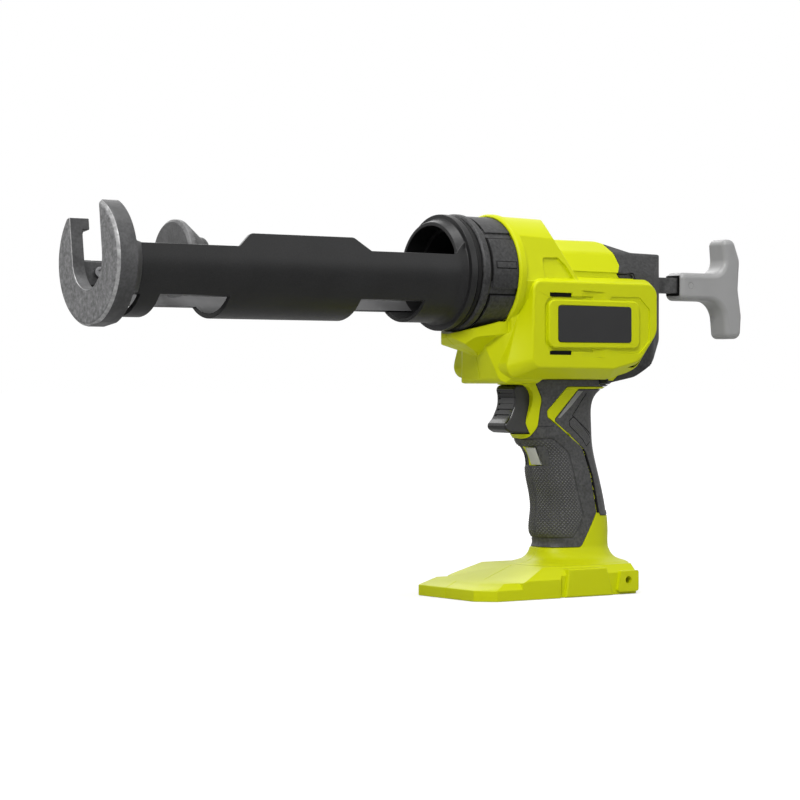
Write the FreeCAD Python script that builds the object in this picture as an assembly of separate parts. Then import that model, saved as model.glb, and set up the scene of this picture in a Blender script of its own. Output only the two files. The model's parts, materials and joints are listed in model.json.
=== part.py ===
import FreeCAD
import Part
import math
import os

# Cordless caulking tool, all lengths in millimetres.
# Tool frame while modelling: x forward from the nose plane where the lock collar seats,
# y to the tool's left, z up from the barrel axis.
# At the end every piece moves so that the origin is the centre of the foot's base.

V = FreeCAD.Vector

# Overall places
nose_offset = 28.5
overrun = 2.0
running_gap = 0.3
seat_gap = 0.1
fit_gap = 0.05
join = 2.0
shortest_edge = 0.001

# Moulded shells
wall = 2.4
rubber_thickness = 1.8
rubber_gap = 0.25
seam_gap = 0.12
zone_gap = 0.3

# Body: three outlines, from the side, from above and across, that the core fits inside
body_length = 128.0
body_depth = 66.5
core_half_width = 29.0
core_corner = 6.0
core_side_shares = [
    (0.0, 0.335), (0.0, -0.541), (0.085, -0.6), (0.035, -1.0), (-0.17, -1.0), (-0.19, -0.96),
    (-0.585, -0.96), (-0.594, -1.0), (-0.75, -0.937), (-0.83, -0.82), (-0.945, -0.571), (-1.0, -0.12),
    (-0.99, 0.06), (-0.949, 0.222), (-0.758, 0.229), (-0.602, 0.335)]
core_side_corner_shares = [0.0, 0.5, 0.6, 0.8, 0.2, 0.2, 0.0, 0.0, 1.5, 1.5, 2.0, 1.2, 1.0, 1.0, 2.0, 2.0]
core_plan_shares = [(0.09, 0.3), (0.02, 0.8), (-0.06, 1.0), (-0.84, 1.0), (-0.94, 0.7), (-0.99, 0.25)]
core_plan_corner_shares = [1.2, 2.0, 2.0, 1.6, 1.6, 1.0]
core_section_shares = [(0.31, 0.338), (0.72, 0.218), (0.95, 0.03), (1.0, -0.12), (1.0, -0.86), (0.76, -1.01)]
core_section_corner_shares = [1.4, 1.4, 0.0, 0.4, 1.0, 1.0]
step_face_y = 26.9
step_corner = 4.0
step_shares = [(-0.32, 0.035), (-0.715, 0.025), (-0.737, -0.09), (-0.737, -0.2), (-0.32, -0.2)]
step_corner_shares = [0.0, 1.0, 0.0, 0.0, 0.0]

# Front block: the round shoulder behind the lock collar, with a flat on each side
nose_radius = 36.5
nose_lip = 2.0
nose_rim = 3.0
nose_chamfer = 1.3
block_front_radius = 35.6
block_rear_radius = 34.2
block_length = 62.0
block_top_x = -43.2
block_top_z = 32.3
block_slope_shares = (-0.664, 0.535, 0.521)
flat_top_y = 27.5
flat_top_z = 22.5
flat_low_y = 33.5
flat_low_z = -5.0
relief_depth = 1.6
relief_corner = 2.0
relief_shares = [(-0.31, 0.42), (-0.5, 0.43), (-0.58, 0.24), (-0.69, -0.22), (-0.31, -0.22)]

# Chin shelf under the lock collar
chin_reach = 30.5
chin_drop = 54.0
chin_half_width = 22.0
chin_side_shares = [(-0.06, -0.5), (1.0, -0.66), (1.0, -0.72), (0.82, -0.8), (0.45, -0.875), (0.3, -0.92),
                    (-0.06, -0.92)]
chin_plan_shares = [(1.0, 0.25), (0.72, 0.78), (0.2, 1.0), (-0.06, 1.0)]
chin_corner = 6.0
chin_side_corner_shares = [0.0, 0.14, 0.24, 0.66, 0.5, 0.2, 0.0]
chin_plan_corner_shares = [0.5, 1.0, 1.0, 0.0]
chin_section_shares = [(1.0, 0.0), (1.0, -0.69), (0.8, -0.715), (0.4, -0.845), (0.1, -0.925)]
chin_section_corner_shares = [0.0, 0.2, 1.0, 1.0, 0.3]

# Side panels: bulged covers over the motor, with a boss for a bare badge plate
panel_root_y = 27.0
panel_face_y = 37.4
panel_seat_y = 12.0
panel_outer_shares = [(-0.085, -0.02), (0.062, -0.95), (-0.57, -0.957), (-0.74, -0.875), (-0.86, -0.56),
                      (-0.86, -0.02)]
panel_corner = 12.0
panel_outer_corner_shares = [0.75, 0.6, 1.0, 1.0, 1.16, 0.83]
panel_inner_shares = [(-0.053, -0.075), (-0.053, -0.855), (-0.54, -0.865), (-0.7, -0.79), (-0.81, -0.53),
                      (-0.81, -0.075)]
panel_inner_corner_shares = [0.5, 0.5, 1.0, 1.0, 1.0, 0.66]
panel_edge_round = 1.6
boss_x = -53.5
boss_z = -30.5
boss_length = 71.0
boss_height = 29.0
boss_corner = 5.0
boss_rise = 1.1
boss_round = 0.9
moat_width = 2.2
moat_depth = 1.6
vent_length = 17.0
vent_height = 2.3
vent_x = -28.0
vent_offset = 17.6
vent_depth = 4.6
scallop_x = -53.4
scallop_length = 20.4
scallop_depth = 1.1
scallop_offset = 14.5
scallop_height = 5.6
frame_depth = 0.7
frame_corner = 2.5
frame_shares = [(-0.516, -0.2), (-0.7, -0.2), (-0.765, -0.31), (-0.765, -0.6), (-0.7, -0.72), (-0.516, -0.72)]
badge_length = 57.0
badge_height = 22.0
badge_corner = 2.0
badge_thickness = 1.2

# Rear cap: the dark cover that closes the back of the body
cap_edge_shares = [(-0.62, 0.5), (-0.655, 0.1), (-0.625, 0.015), (-0.675, -0.09), (-0.66, -0.87),
                   (-0.58, -1.1), (-1.2, -1.1), (-1.2, 0.5)]

# Handle: rounded sections down a leaning grip, then a flare onto the foot
handle_overlap = 8.5
handle_top = body_depth - handle_overlap
handle_length = 120.0
handle_depth = 51.0
handle_width = 34.0
handle_x = -63.5
section_power_share = 2.6
section_points = 16
handle_station_shares = [
    (0.0, 1.088, -0.559, 0.515), (0.1, 0.99, -0.431, 0.5), (0.167, 0.941, -0.29, 0.479),
    (0.267, 0.892, -0.275, 0.47), (0.358, 0.76, -0.28, 0.47), (0.433, 0.605, -0.3, 0.476),
    (0.525, 0.567, -0.358, 0.494), (0.625, 0.514, -0.426, 0.5), (0.725, 0.492, -0.482, 0.5),
    (0.85, 0.496, -0.506, 0.509), (0.917, 0.5, -0.508, 0.515)]
flare_station_shares = [
    (0.917, 0.5, -0.508, 0.515), (0.95, 0.529, -0.539, 0.574), (0.979, 0.618, -0.618, 0.706),
    (1.0, 0.755, -0.735, 0.882), (1.03, 0.76, -0.74, 0.89)]
lip_shares = [(0.6, -0.328), (1.01, -0.328), (1.0, -0.345), (0.93, -0.362), (0.83, -0.375), (0.6, -0.375)]
lip_half_width = 11.5
lip_tip_half_width = 5.0
lip_tip_length = 5.0
lip_corner = 1.4
rim_shares = [(1.9, -0.0765), (0.752, -0.0765), (0.76, -0.175), (0.853, -0.328), (1.9, -0.328)]
rim_corner = 8.0

# Rubber zones on the handle, drawn from the side
grip_zone_shares = [
    (0.692, -0.0475), (0.74, -0.068), (0.645, -0.15), (0.668, -0.22), (0.682, -0.29), (0.745, -0.345),
    (0.86, -0.38), (1.2, -0.39),
    (1.2, -0.913), (0.07, -0.913), (-0.18, -0.735), (-0.09, -0.54), (0.03, -0.398), (0.555, -0.243),
    (0.565, -0.21), (0.285, -0.0875), (-0.8, -0.0875), (-0.8, -0.0735), (-0.24, -0.0735), (-0.24, -0.0475)]
zone_corner = 8.0
grip_zone_corner_shares = [0.15, 0.15, 1.0, 1.2, 0.8, 0.5, 0.3, 0.0, 0.0, 0.5, 0.25, 1.7, 1.0, 0.15, 0.2, 0.12, 0.0,
                           0.0, 0.0, 0.0]
strap_zone_shares = [
    (0.105, -0.098), (0.4745, -0.26), (-0.01, -0.415), (-0.12, -0.545), (-0.215, -0.735), (-0.25, -0.755),
    (-0.9, -0.755), (-0.9, -0.098)]
strap_zone_corner_shares = [0.12, 0.25, 1.0, 1.7, 0.2, 0.2, 0.0, 0.0]
groove_width = 0.9
groove_depth = 0.5
knurl_zone_shares = [
    (1.4, -0.335), (0.68, -0.352), (0.52, -0.348), (0.443, -0.359), (0.245, -0.422), (0.182, -0.515),
    (0.12, -0.618), (0.027, -0.7475), (0.059, -0.788), (0.182, -0.869), (1.4, -0.869)]
knurl_zone_corner_shares = [0.0, 0.4, 0.4, 0.4, 0.8, 0.8, 1.0, 0.4, 0.4, 0.3, 0.0]
seam_zone_shares = [(0.47, -0.288), (1.4, -0.288), (1.4, -0.2925), (0.465, -0.2925)]
strap_panel_shares = [
    (-0.004, -0.09), (-0.004, -0.114), (0.15, -0.2375), (-0.114, -0.347), (-0.24, -0.56), (-0.29, -0.73),
    (-0.9, -0.73), (-0.9, -0.09)]
strap_panel_corner_shares = [0.0, 0.3, 0.3, 1.0, 2.0, 0.2, 0.0, 0.0]
strap_panel_depth = 0.45

# Foot
foot_drop = 18.0
axis_height = handle_top + handle_length + foot_drop
foot_front = 31.0
foot_rear = -88.0
foot_half_width = 38.5
foot_waist_half_width = 36.2
foot_toe_half_width = 28.5
foot_corner = 10.0
foot_waist_x = -27.0
foot_lip_height = 6.5
foot_toe_height = 10.2
foot_margin = 8.0
foot_step_height = 11.3
foot_deck_height = 18.4
foot_step_x = 2.0
foot_deck_x = -19.0
foot_shoulder = 7.5
foot_round = 1.2
pad_front_x = -31.0
pad_rear_x = -68.0
pad_lean = 5.0
pad_height = 17.2
lug_front_x = -71.5
lug_low = 1.8
lug_height = 14.5
lug_depth = 11.0
lug_corner = 1.5
lanyard_radius = 2.4
lanyard_x = -80.0
lanyard_height = 8.7

# Battery socket, up the handle from the foot
socket_share = 0.5667
socket_top = handle_top + socket_share * handle_length

# Trigger, its switch and the lock button
trigger_top_share = 0.0792
trigger_height_share = 0.2475
trigger_top = handle_top + trigger_top_share * handle_length
trigger_height = trigger_height_share * handle_length
trigger_half_width = 9.6
trigger_back = -26.0
trigger_toe = -6.8
trigger_stroke = 6.0
trigger_gap = 0.4
trigger_edge = 1.6
trigger_front_shares = [(0.31, 0.0), (0.4, -0.22), (0.39, -0.42), (0.2, -0.67), (0.0, -0.8), (0.0, -0.9),
                        (0.22, -0.975), (1.0, -1.0), (1.0, 0.0)]
trigger_corner = 12.0
trigger_corner_shares = [0.25, 0.95, 1.1, 1.0, 0.225, 0.225, 0.25, 0.0, 0.0]
trigger_rib_shares = (0.16, 0.62)
trigger_ribs = 5
trigger_rib_depth = 0.7
trigger_rib_width = 1.1
trigger_rib_margin = 0.8
plunger_pin_radius = 3.0
plunger_pin_length = 11.0
switch_bore_spare = 2.0
switch_front = -34.0
switch_length = 23.0
switch_height_share = 0.2
switch_height = switch_height_share * handle_length
switch_half_width = 10.3
switch_drop_share = 0.1083
switch_drop = handle_top + switch_drop_share * handle_length
board_thickness = 1.6
board_length = 23.0
board_half_width = 8.0
transistor_length = 8.0
transistor_width = 4.5
transistor_height = 2.4
transistor_pitch = 6.0
button_drop_share = 0.4433
button_height_share = 0.0933
button_drop = handle_top + button_drop_share * handle_length
button_height = button_height_share * handle_length
button_front = -37.0
button_depth = 4.0
button_half_length = 10.4
button_stand = 1.0
button_corner = 0.8
button_bevel = 2.4
button_bridge = 3.2
button_right_window = 5.6

# Battery terminals above the socket
terminal_block_height = 8.0
terminal_count = 3
terminal_pitch = 9.0
terminal_thickness = 0.9
terminal_width = 7.0
terminal_length = 20.0

# Nose spigot that carries the lock collar and the cradle
spigot_radius = 27.6
spigot_bore = 25.3
spigot_length = 30.0
spigot_base = 6.0
spigot_flange = 31.5

# Lock collar
collar_rear = 0.5
collar_length = 27.6
collar_body_radius = 33.4
collar_pad_radius = 34.5
collar_front_radius = 35.5
collar_band = 4.5
collar_slope = 2.0
collar_edge = 1.2
collar_step = 13.6
collar_pads = 6
collar_pad_angle = 52.0
collar_pad_start = -17.0
collar_pad_margin = 1.2

# Cradle that holds the cartridge, turned as it stands at rest
cradle_turn = 7.5
cradle_bore = 27.9
cradle_tube_radius = 30.4
cradle_catch_radius = 31.6
cradle_catch_length = 3.6
cradle_flange_x = 32.4
cradle_flange_length = 4.6
cradle_flange_radius = 35.0
cradle_lip_x = 43.0
cradle_neck_radius = 32.2
cradle_radius = 30.2
cradle_wall = 3.0
cradle_lower_x = 63.0
cradle_end_x = 255.0
rail_top = 5.7
rail_bottom = -21.0
cheek_top = 13.2
cheek_rear_x = 104.0
cheek_front_x = 192.4
cheek_rear_ramp = 11.8
cheek_front_ramp = 7.8
cheek_round = 4.0
saddle_rear_x = 108.0
saddle_front_x = 195.6
front_hoop_x = 240.0
front_hoop_end = 252.5
gusset_length = 7.0
gusset_rise = 8.0
seal_radius = 34.6
seal_edge = 1.0

# Front fork that the cartridge pushes against
fork_front_x = 272.4
fork_plate = 12.4
fork_radius = 35.8
fork_bevel = 1.9
fork_slot_half = 17.5
fork_slot_flare = 0.4
fork_slot_centre = 1.8
fork_left_tip_z = 31.2
fork_right_tip_z = 27.6
fork_flat_z = -35.1
fork_rim = 3.0
fork_pocket = 4.4
fork_hook_z = 21.0
fork_sleeve_radius = 31.8
fork_tab_length = 11.5
fork_tab_thickness = 2.6
fork_tab_top = 4.6
fork_tab_bottom = -9.0
fork_screw_x = 252.5
fork_screw_z = -1.8
fork_screw_head = 3.1
fork_screw_head_height = 2.0
fork_screw_radius = 1.7
fork_screw_socket = 1.5
fork_screw_socket_depth = 1.2
fork_screw_cover = 1.0

# Rack rod, plunger disc and pull handle
rod_half_width = 5.0
rod_top = 1.4
rod_bottom = -8.4
rod_front_x = 201.0
rod_stand_out = 35.0
rod_rear_x = -body_length - rod_stand_out
rack_spare_teeth = 3
rod_back_travel = 194.0
rod_forward_travel = 19.0
disc_length = 19.0
disc_radius = 21.9
disc_rise = 3.0
disc_rim = 4.0
disc_edge = 1.5
disc_hub_radius = 12.5
disc_hub_length = 2.5
disc_screw_head = 4.4
disc_screw_head_height = 3.2
disc_screw_radius = 2.4
disc_screw_length = 24.0
disc_screw_socket = 2.0
disc_screw_clear = 2.0
pull_stand_out = 21.0
pull_stem_front = -body_length - pull_stand_out
pull_half_width = 8.6
pull_length = 53.0
pull_reach = 37.2
pull_shares = [(0.0, 0.134), (-0.726, 0.134), (-0.689, 0.739), (-0.868, 0.739), (-0.972, 0.376), (-0.947, -0.134),
               (-1.0, -0.591), (-0.981, -1.0), (-0.735, -1.0), (-0.689, -0.349), (0.0, -0.349)]
pull_corner = 10.0
pull_corner_shares = [0.4, 0.9, 0.4, 0.5, 1.0, 1.0, 1.0, 0.5, 0.4, 1.3, 0.4]
pull_edge = 3.6
pull_socket_clear = 0.2
pull_pin_radius = 2.0
pull_pin_inset = 8.0
pull_pin_x = pull_stem_front - pull_pin_inset

# Gear train: rack pinion, output gear, idler and gearmotor, all on shafts along y
pressure_angle = 25.0
addendum_share = 0.8
dedendum_share = 1.02
backlash_share = 0.08
rack_module = 1.5
pinion_teeth = 12
pinion_share = -0.265625
pinion_x = pinion_share * body_length
pinion_half_width = 5.4
output_module = 1.5
output_teeth = 32
output_y = 8.2
output_width = 6.0
idler_teeth = 10
idler_lean = 42.0
idler_width = 7.0
wheel_module = 1.0
wheel_teeth = 42
wheel_y = 16.4
wheel_width = 4.0
motor_teeth = 10
motor_lean = 6.0
motor_pinion_width = 5.0
gear_web_holes = 6
drive_shaft_radius = 4.0
idler_shaft_radius = 3.0
bearing_radius = 7.5
bush_radius = 5.5
bearing_length = 4.0
plate_thickness = 2.0
right_plate_y = -10.0
left_plate_y = 22.0
plate_margin = 2.0
plate_corner = 4.0
spacer_shares = [(0.104, 0.2475), (0.526, 0.07), (0.949, 0.876)]
spacer_radius = 2.5
gearbox_radius = 15.6
gearbox_front_y = 14.8
gearbox_length = 17.0
gearbox_nose_radius = 6.0
gearbox_nose_length = 0.5
gearbox_bore_depth = 6.0
gearbox_ribs = 10
gearbox_rib_radius = 0.9
motor_radius = 16.4
motor_length = 28.0
motor_shaft_radius = 2.5
motor_cap_length = 3.3
motor_cap_inset = 1.0
motor_vent_length = 9.0
motor_vent_width = 3.0
motor_flat = 15.0
bay_floor_clear = 0.1
bay_half_width = 33.6
bay_front = -8.0
bay_wall_clear = 0.4
bay_top = -10.0
gear_clear = 1.2
hollow_top = 66.0
tunnel_clear = 1.2
bush_length = 8.0
bush_wall = 3.4
bush_clear = 0.12

# Case screws, driven from the right side
screw_head_radius = 3.3
screw_head_height = 2.4
screw_radius = 1.5
screw_length = 16.0
screw_clear = 0.25
screw_drive = 1.4
body_screw_shares = [(-0.172, 0.376, 0.41), (-0.53, 0.226, 0.34), (-0.23, -0.925, 0.31), (-0.484, -0.905, 0.41)]
foot_screw_shares = [(0.45, 0.3, 0.57), (-0.71, 0.46, 0.57)]


def side(y):
    """Lift outline points onto the upright plane at y."""
    return lambda u, v: V(u, y, v)


def plan(z):
    """Lift outline points onto the level plane at z."""
    return lambda u, v: V(u, v, z)


def across(x):
    """Lift outline points onto the cross plane at x."""
    return lambda u, v: V(x, u, v)


def corner(before, here, after, radius):
    """Start, middle and end of the arc that rounds one corner, or the corner itself."""
    if radius == 0:
        return here, None, here
    to_before = (before - here).normalize()
    to_after = (after - here).normalize()
    half = to_before.getAngle(to_after) / 2
    reach = radius / math.tan(half)
    inward = (to_before + to_after).normalize()
    depth = radius / math.sin(half) - radius
    return here + to_before * reach, here + inward * depth, here + to_after * reach


def outline(points, radii, lift):
    """Closed wire through the points, each corner rounded by its own radius."""
    flat = [V(u, v, 0) for u, v in points]
    count = len(flat)
    if not isinstance(radii, (list, tuple)):
        radii = [radii] * count
    corners = [corner(flat[i - 1], flat[i], flat[(i + 1) % count], radii[i]) for i in range(count)]
    edges = []
    for i, (start, middle, end) in enumerate(corners):
        following = corners[(i + 1) % count][0]
        if middle is not None:
            arc = [lift(p.x, p.y) for p in (start, middle, end)]
            edges.append(Part.Arc(*arc).toShape())
        if (following - end).Length > shortest_edge:
            edges.append(Part.LineSegment(lift(end.x, end.y), lift(following.x, following.y)).toShape())
    return Part.Wire(edges)


def side_prism(points, radii, y0, y1):
    """Side outline drawn in x and z, carried from y0 to y1."""
    return Part.Face(outline(points, radii, side(y0))).extrude(V(0, y1 - y0, 0))


def plan_prism(points, radii, z0, z1):
    """Plan outline drawn in x and y, carried from z0 to z1."""
    return Part.Face(outline(points, radii, plan(z0))).extrude(V(0, 0, z1 - z0))


def cross_prism(points, radii, x0, x1):
    """Cross outline drawn in y and z, carried from x0 to x1."""
    return Part.Face(outline(points, radii, across(x0))).extrude(V(x1 - x0, 0, 0))


def mirrored_points(half, swap_first):
    """A half outline and its mirror image about y = 0, as one closed outline."""
    if swap_first:
        return half + [(-u, v) for u, v in reversed(half)]
    return half + [(u, -v) for u, v in reversed(half)]


def mirrored_list(half):
    """Corner radii of a half outline, repeated for its mirror image."""
    return half + list(reversed(half))


def scaled(shares, first, second):
    """Outline points from shares of two sizes."""
    return [(u * first, v * second) for u, v in shares]


def block(x0, x1, y0, y1, z0, z1):
    """Box between two corners."""
    return Part.makeBox(x1 - x0, y1 - y0, z1 - z0, V(x0, y0, z0))


def rod_x(x0, x1, radius, z=0.0):
    """Round bar along x."""
    return Part.makeCylinder(radius, x1 - x0, V(x0, 0, z), V(1, 0, 0))


def rod_y(x, z, y0, y1, radius):
    """Round bar along y."""
    return Part.makeCylinder(radius, y1 - y0, V(x, y0, z), V(0, 1, 0))


def ring_y(x, z, y0, y1, outer, inner):
    """Round ring along y."""
    return rod_y(x, z, y0, y1, outer).cut(rod_y(x, z, y0 - overrun, y1 + overrun, inner))


def turned(points):
    """Outline of places along x and radii, turned about the barrel axis."""
    return Part.Face(outline(points, 0, side(0))).revolve(V(0, 0, 0), V(1, 0, 0), 360)


def mirror_y(shape):
    """The same piece on the tool's other side."""
    return shape.mirror(V(0, 0, 0), V(0, 1, 0))


def fuse_all(shapes):
    """One solid from shapes that overlap."""
    return shapes[0].multiFuse(shapes[1:])


def round_edges(shape, radius, chosen):
    """Fillet the edges that the test chooses."""
    edges = [edge for edge in shape.Edges if chosen(edge)]
    return shape.makeFillet(radius, edges)


def edge_on_face(y):
    """Test for edges that lie on the upright plane at y."""
    def chosen(edge):
        box = edge.BoundBox
        return abs(box.YMin - y) < shortest_edge and abs(box.YMax - y) < shortest_edge
    return chosen


# Handle forms

def handle_section(row, inset):
    """One rounded cross outline of the handle, drawn in by the inset."""
    drop, front, rear, width = row
    front_x = handle_x + front * handle_depth - inset
    rear_x = handle_x + rear * handle_depth + inset
    half_depth = (front_x - rear_x) / 2
    half_width = width * handle_width - inset
    power = 2 / section_power_share
    points = []
    for i in range(section_points):
        angle = 2 * math.pi * i / section_points
        cos, sin = math.cos(angle), math.sin(angle)
        u = math.copysign(abs(cos) ** power, cos) * half_depth
        v = math.copysign(abs(sin) ** power, sin) * half_width
        points.append(V((front_x + rear_x) / 2 + u, v, -handle_top - drop * handle_length))
    curve = Part.BSplineCurve()
    curve.interpolate(Points=points, PeriodicFlag=True)
    return Part.Wire([curve.toShape()])


def handle_form(inset):
    """The grip, drawn in by the inset."""
    return Part.makeLoft([handle_section(row, inset) for row in handle_station_shares], True, False)


def flare_form():
    """The flare from the grip onto the foot."""
    return Part.makeLoft([handle_section(row, 0.0) for row in flare_station_shares], True, False)


def handle_point(shares):
    """Place on the handle from shares of its depth and length."""
    return handle_x + shares[0] * handle_depth, -handle_top + shares[1] * handle_length


def zone_prism(shares, corner_shares, grow):
    """Prism across the handle over a rubber zone, drawn in or let out by its named gap."""
    points = [handle_point(pair) for pair in shares]
    radii = [share * zone_corner for share in corner_shares]
    face = Part.Face(outline(points, radii, side(-handle_width)))
    if grow != 0:
        face = face.makeOffset2D(grow)
    return face.extrude(V(0, 2 * handle_width, 0))


def lip_form(grow):
    """Finger lip under the trigger: a tongue that narrows to its tip, let out all round by its clearance."""
    half = lip_half_width + grow
    points = [handle_point(pair) for pair in lip_shares]
    rear, tip = min(x for x, _ in points), max(x for x, _ in points)
    middle = sum(z for _, z in points) / len(points)
    grown = [(x + math.copysign(grow, x - (rear + tip) / 2), z + math.copysign(grow, z - middle)) for x, z in points]
    profile = side_prism(grown, [0, lip_corner, lip_corner, 0, 0, 0], -half, half)
    from_above = mirrored_points([
        (tip + grow, lip_tip_half_width), (tip + grow - lip_tip_length, half), (rear - grow, half)], False)
    return profile.common(plan_prism(from_above, 0, -axis_height, 0))


def rim_window():
    """Space in front of the rims beside the trigger."""
    points = [handle_point(pair) for pair in rim_shares]
    return side_prism(points, [0, rim_corner, rim_corner, 0, 0], -handle_width, handle_width)


# Body forms

def core_form():
    """Body core: the space inside a side, a plan and a cross outline, with a step let into each side."""
    from_side = scaled(core_side_shares, body_length, body_depth)
    from_above = mirrored_points(scaled(core_plan_shares, body_length, core_half_width), False)
    from_front = mirrored_points(scaled(core_section_shares, core_half_width, body_depth), True)
    side_radii = [share * core_corner for share in core_side_corner_shares]
    plan_radii = mirrored_list([share * core_corner for share in core_plan_corner_shares])
    cross_radii = mirrored_list([share * core_corner for share in core_section_corner_shares])
    solid = side_prism(from_side, side_radii, -core_half_width - overrun, core_half_width + overrun)
    solid = solid.common(plan_prism(from_above, plan_radii, -2 * body_depth, body_depth))
    solid = solid.common(cross_prism(from_front, cross_radii, -2 * body_length, body_length))
    step_radii = [share * step_corner for share in step_corner_shares]
    step = side_prism(scaled(step_shares, body_length, body_depth), step_radii, step_face_y, 2 * core_half_width)
    return solid.cut([step, mirror_y(step)])


def flat_region(depth):
    """The space outside the block's left flat, moved inwards by the depth."""
    reach = 2 * nose_radius
    points = [(flat_top_y - depth, flat_top_z), (reach, flat_top_z), (reach, flat_low_z),
              (flat_low_y - depth, flat_low_z)]
    return cross_prism(points, 0, -2 * block_length, -nose_rim)


def slope_region():
    """The space behind the block's left sloping rear face."""
    reach = 2 * block_length
    return Part.makeCylinder(reach, reach, V(block_top_x, 0, block_top_z), V(*block_slope_shares))


def front_block():
    """Nose ring and the shoulder behind it, with a flat, a shallow relief and a sloping end on each side."""
    rim = nose_lip + nose_rim
    ring = turned([(nose_lip, 0), (nose_lip, nose_radius - nose_chamfer), (nose_lip - nose_chamfer, nose_radius),
                   (nose_lip - rim, nose_radius), (nose_lip - rim, 0)])
    shoulder = turned([(0, 0), (0, block_front_radius), (-block_length, block_rear_radius), (-block_length, 0)])
    relief_points = scaled(relief_shares, block_length, flat_top_z)
    relief = side_prism(relief_points, relief_corner, 0, nose_radius)
    relief = relief.common(flat_region(relief_depth))
    for cutter in (flat_region(0.0), relief, slope_region()):
        shoulder = shoulder.cut(cutter).cut(mirror_y(cutter))
    return ring.fuse(shoulder)


def chin_form():
    """Shelf that reaches forward under the lock collar, hollowed for it and keeled below."""
    from_side = scaled(chin_side_shares, chin_reach, chin_drop)
    from_above = mirrored_points(scaled(chin_plan_shares, chin_reach, chin_half_width), False)
    side_radii = [share * chin_corner for share in chin_side_corner_shares]
    plan_radii = mirrored_list([share * chin_corner for share in chin_plan_corner_shares])
    shelf = side_prism(from_side, side_radii, -chin_half_width, chin_half_width)
    shelf = shelf.common(plan_prism(from_above, plan_radii, -chin_drop - overrun, 0))
    from_front = mirrored_points(scaled(chin_section_shares, chin_half_width, chin_drop), True)
    cross_radii = mirrored_list([share * chin_corner for share in chin_section_corner_shares])
    shelf = shelf.common(cross_prism(from_front, cross_radii, -chin_reach, chin_reach + overrun))
    return shelf.cut(rod_x(nose_lip, chin_reach + overrun, nose_radius))


def panel_form():
    """Left side panel: a bulged cover with a badge boss, a moat in front of it, a step behind it and vents."""
    outer_radii = [share * panel_corner for share in panel_outer_corner_shares]
    inner_radii = [share * panel_corner for share in panel_inner_corner_shares]
    outer = outline(scaled(panel_outer_shares, body_length, body_depth), outer_radii, side(panel_root_y))
    inner = outline(scaled(panel_inner_shares, body_length, body_depth), inner_radii, side(panel_face_y))
    panel = Part.makeLoft([outer, inner], True, True)
    panel = round_edges(panel, panel_edge_round, edge_on_face(panel_face_y))
    seat = side_prism(scaled(panel_outer_shares, body_length, body_depth), outer_radii, panel_seat_y, panel_root_y)
    panel = panel.fuse(seat)
    frame = side_prism(scaled(frame_shares, body_length, body_depth), frame_corner, panel_face_y - frame_depth,
                       panel_face_y + overrun)
    boss = side_prism(boss_points(0.0), boss_corner, panel_root_y, panel_face_y + boss_rise)
    boss = round_edges(boss, boss_round, edge_on_face(panel_face_y + boss_rise))
    moat = side_prism(boss_points(moat_width), boss_corner + moat_width, panel_face_y - moat_depth,
                      panel_face_y + overrun)
    moat = moat.cut(block(boss_x - boss_length, boss_x, 0, 2 * panel_face_y, boss_z - boss_height,
                          boss_z + boss_height))
    panel = panel.cut([moat, frame] + [scallop(way) for way in (-1, 1)]).fuse(boss)
    for way in (-1, 1):
        panel = panel.cut(vent_slot(way))
    return panel.cut(badge_form(seat_gap))


def boss_points(grow):
    """Corners of the badge boss, let out all round."""
    half_length = boss_length / 2 + grow
    half_height = boss_height / 2 + grow
    return [(boss_x + half_length, boss_z + half_height), (boss_x + half_length, boss_z - half_height),
            (boss_x - half_length, boss_z - half_height), (boss_x - half_length, boss_z + half_height)]


def scallop(way):
    """Shallow finger hollow above or below the badge boss."""
    radius = ((scallop_length / 2) ** 2 + scallop_depth ** 2) / (2 * scallop_depth)
    low = min(way * scallop_offset, way * (scallop_offset + scallop_height))
    place = V(scallop_x, panel_face_y - scallop_depth + radius, boss_z + low)
    return Part.makeCylinder(radius, scallop_height, place, V(0, 0, 1))


def vent_slot(way):
    """Narrow vent above or below the badge boss."""
    z = boss_z + way * vent_offset
    return block(vent_x - vent_length / 2, vent_x + vent_length / 2, panel_face_y - vent_depth, panel_face_y + overrun,
                 z - vent_height / 2, z + vent_height / 2)


def badge_form(clear):
    """Bare badge plate, let into the boss."""
    half_length = badge_length / 2 + clear
    half_height = badge_height / 2 + clear
    points = [(boss_x + half_length, boss_z + half_height), (boss_x + half_length, boss_z - half_height),
              (boss_x - half_length, boss_z - half_height), (boss_x - half_length, boss_z + half_height)]
    face = panel_face_y + boss_rise
    return side_prism(points, badge_corner, face - badge_thickness / 2, face + badge_thickness / 4)


# Foot

def foot_form():
    """Foot: a deck inside a side, a plan and a cross outline, a hipped toe, side pads and pierced rear lugs."""
    base = -axis_height
    from_side = [(foot_step_x, base), (foot_step_x, base + foot_toe_height), (foot_deck_x, base + foot_deck_height),
                 (foot_rear, base + foot_deck_height), (foot_rear, base)]
    waist = foot_waist_x + foot_waist_half_width - foot_half_width
    from_above = mirrored_points([
        (foot_front, foot_half_width), (foot_waist_x, foot_half_width), (waist, foot_waist_half_width),
        (foot_rear, foot_waist_half_width)], False)
    shoulder = foot_half_width - foot_shoulder
    from_front = mirrored_points([
        (foot_half_width, base - overrun), (foot_half_width, base + foot_step_height),
        (shoulder, base + foot_deck_height), (shoulder, base + 2 * foot_deck_height)], True)
    solid = side_prism(from_side, 0, -foot_half_width, foot_half_width)
    solid = solid.common(plan_prism(from_above, 0, base - overrun, base + 2 * foot_deck_height))
    solid = solid.common(cross_prism(from_front, 0, foot_rear - overrun, foot_front + overrun)).fuse(toe_form())
    for make in (pad_form, lug_form):
        solid = solid.fuse(make()).fuse(mirror_y(make()))
    return solid


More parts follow.
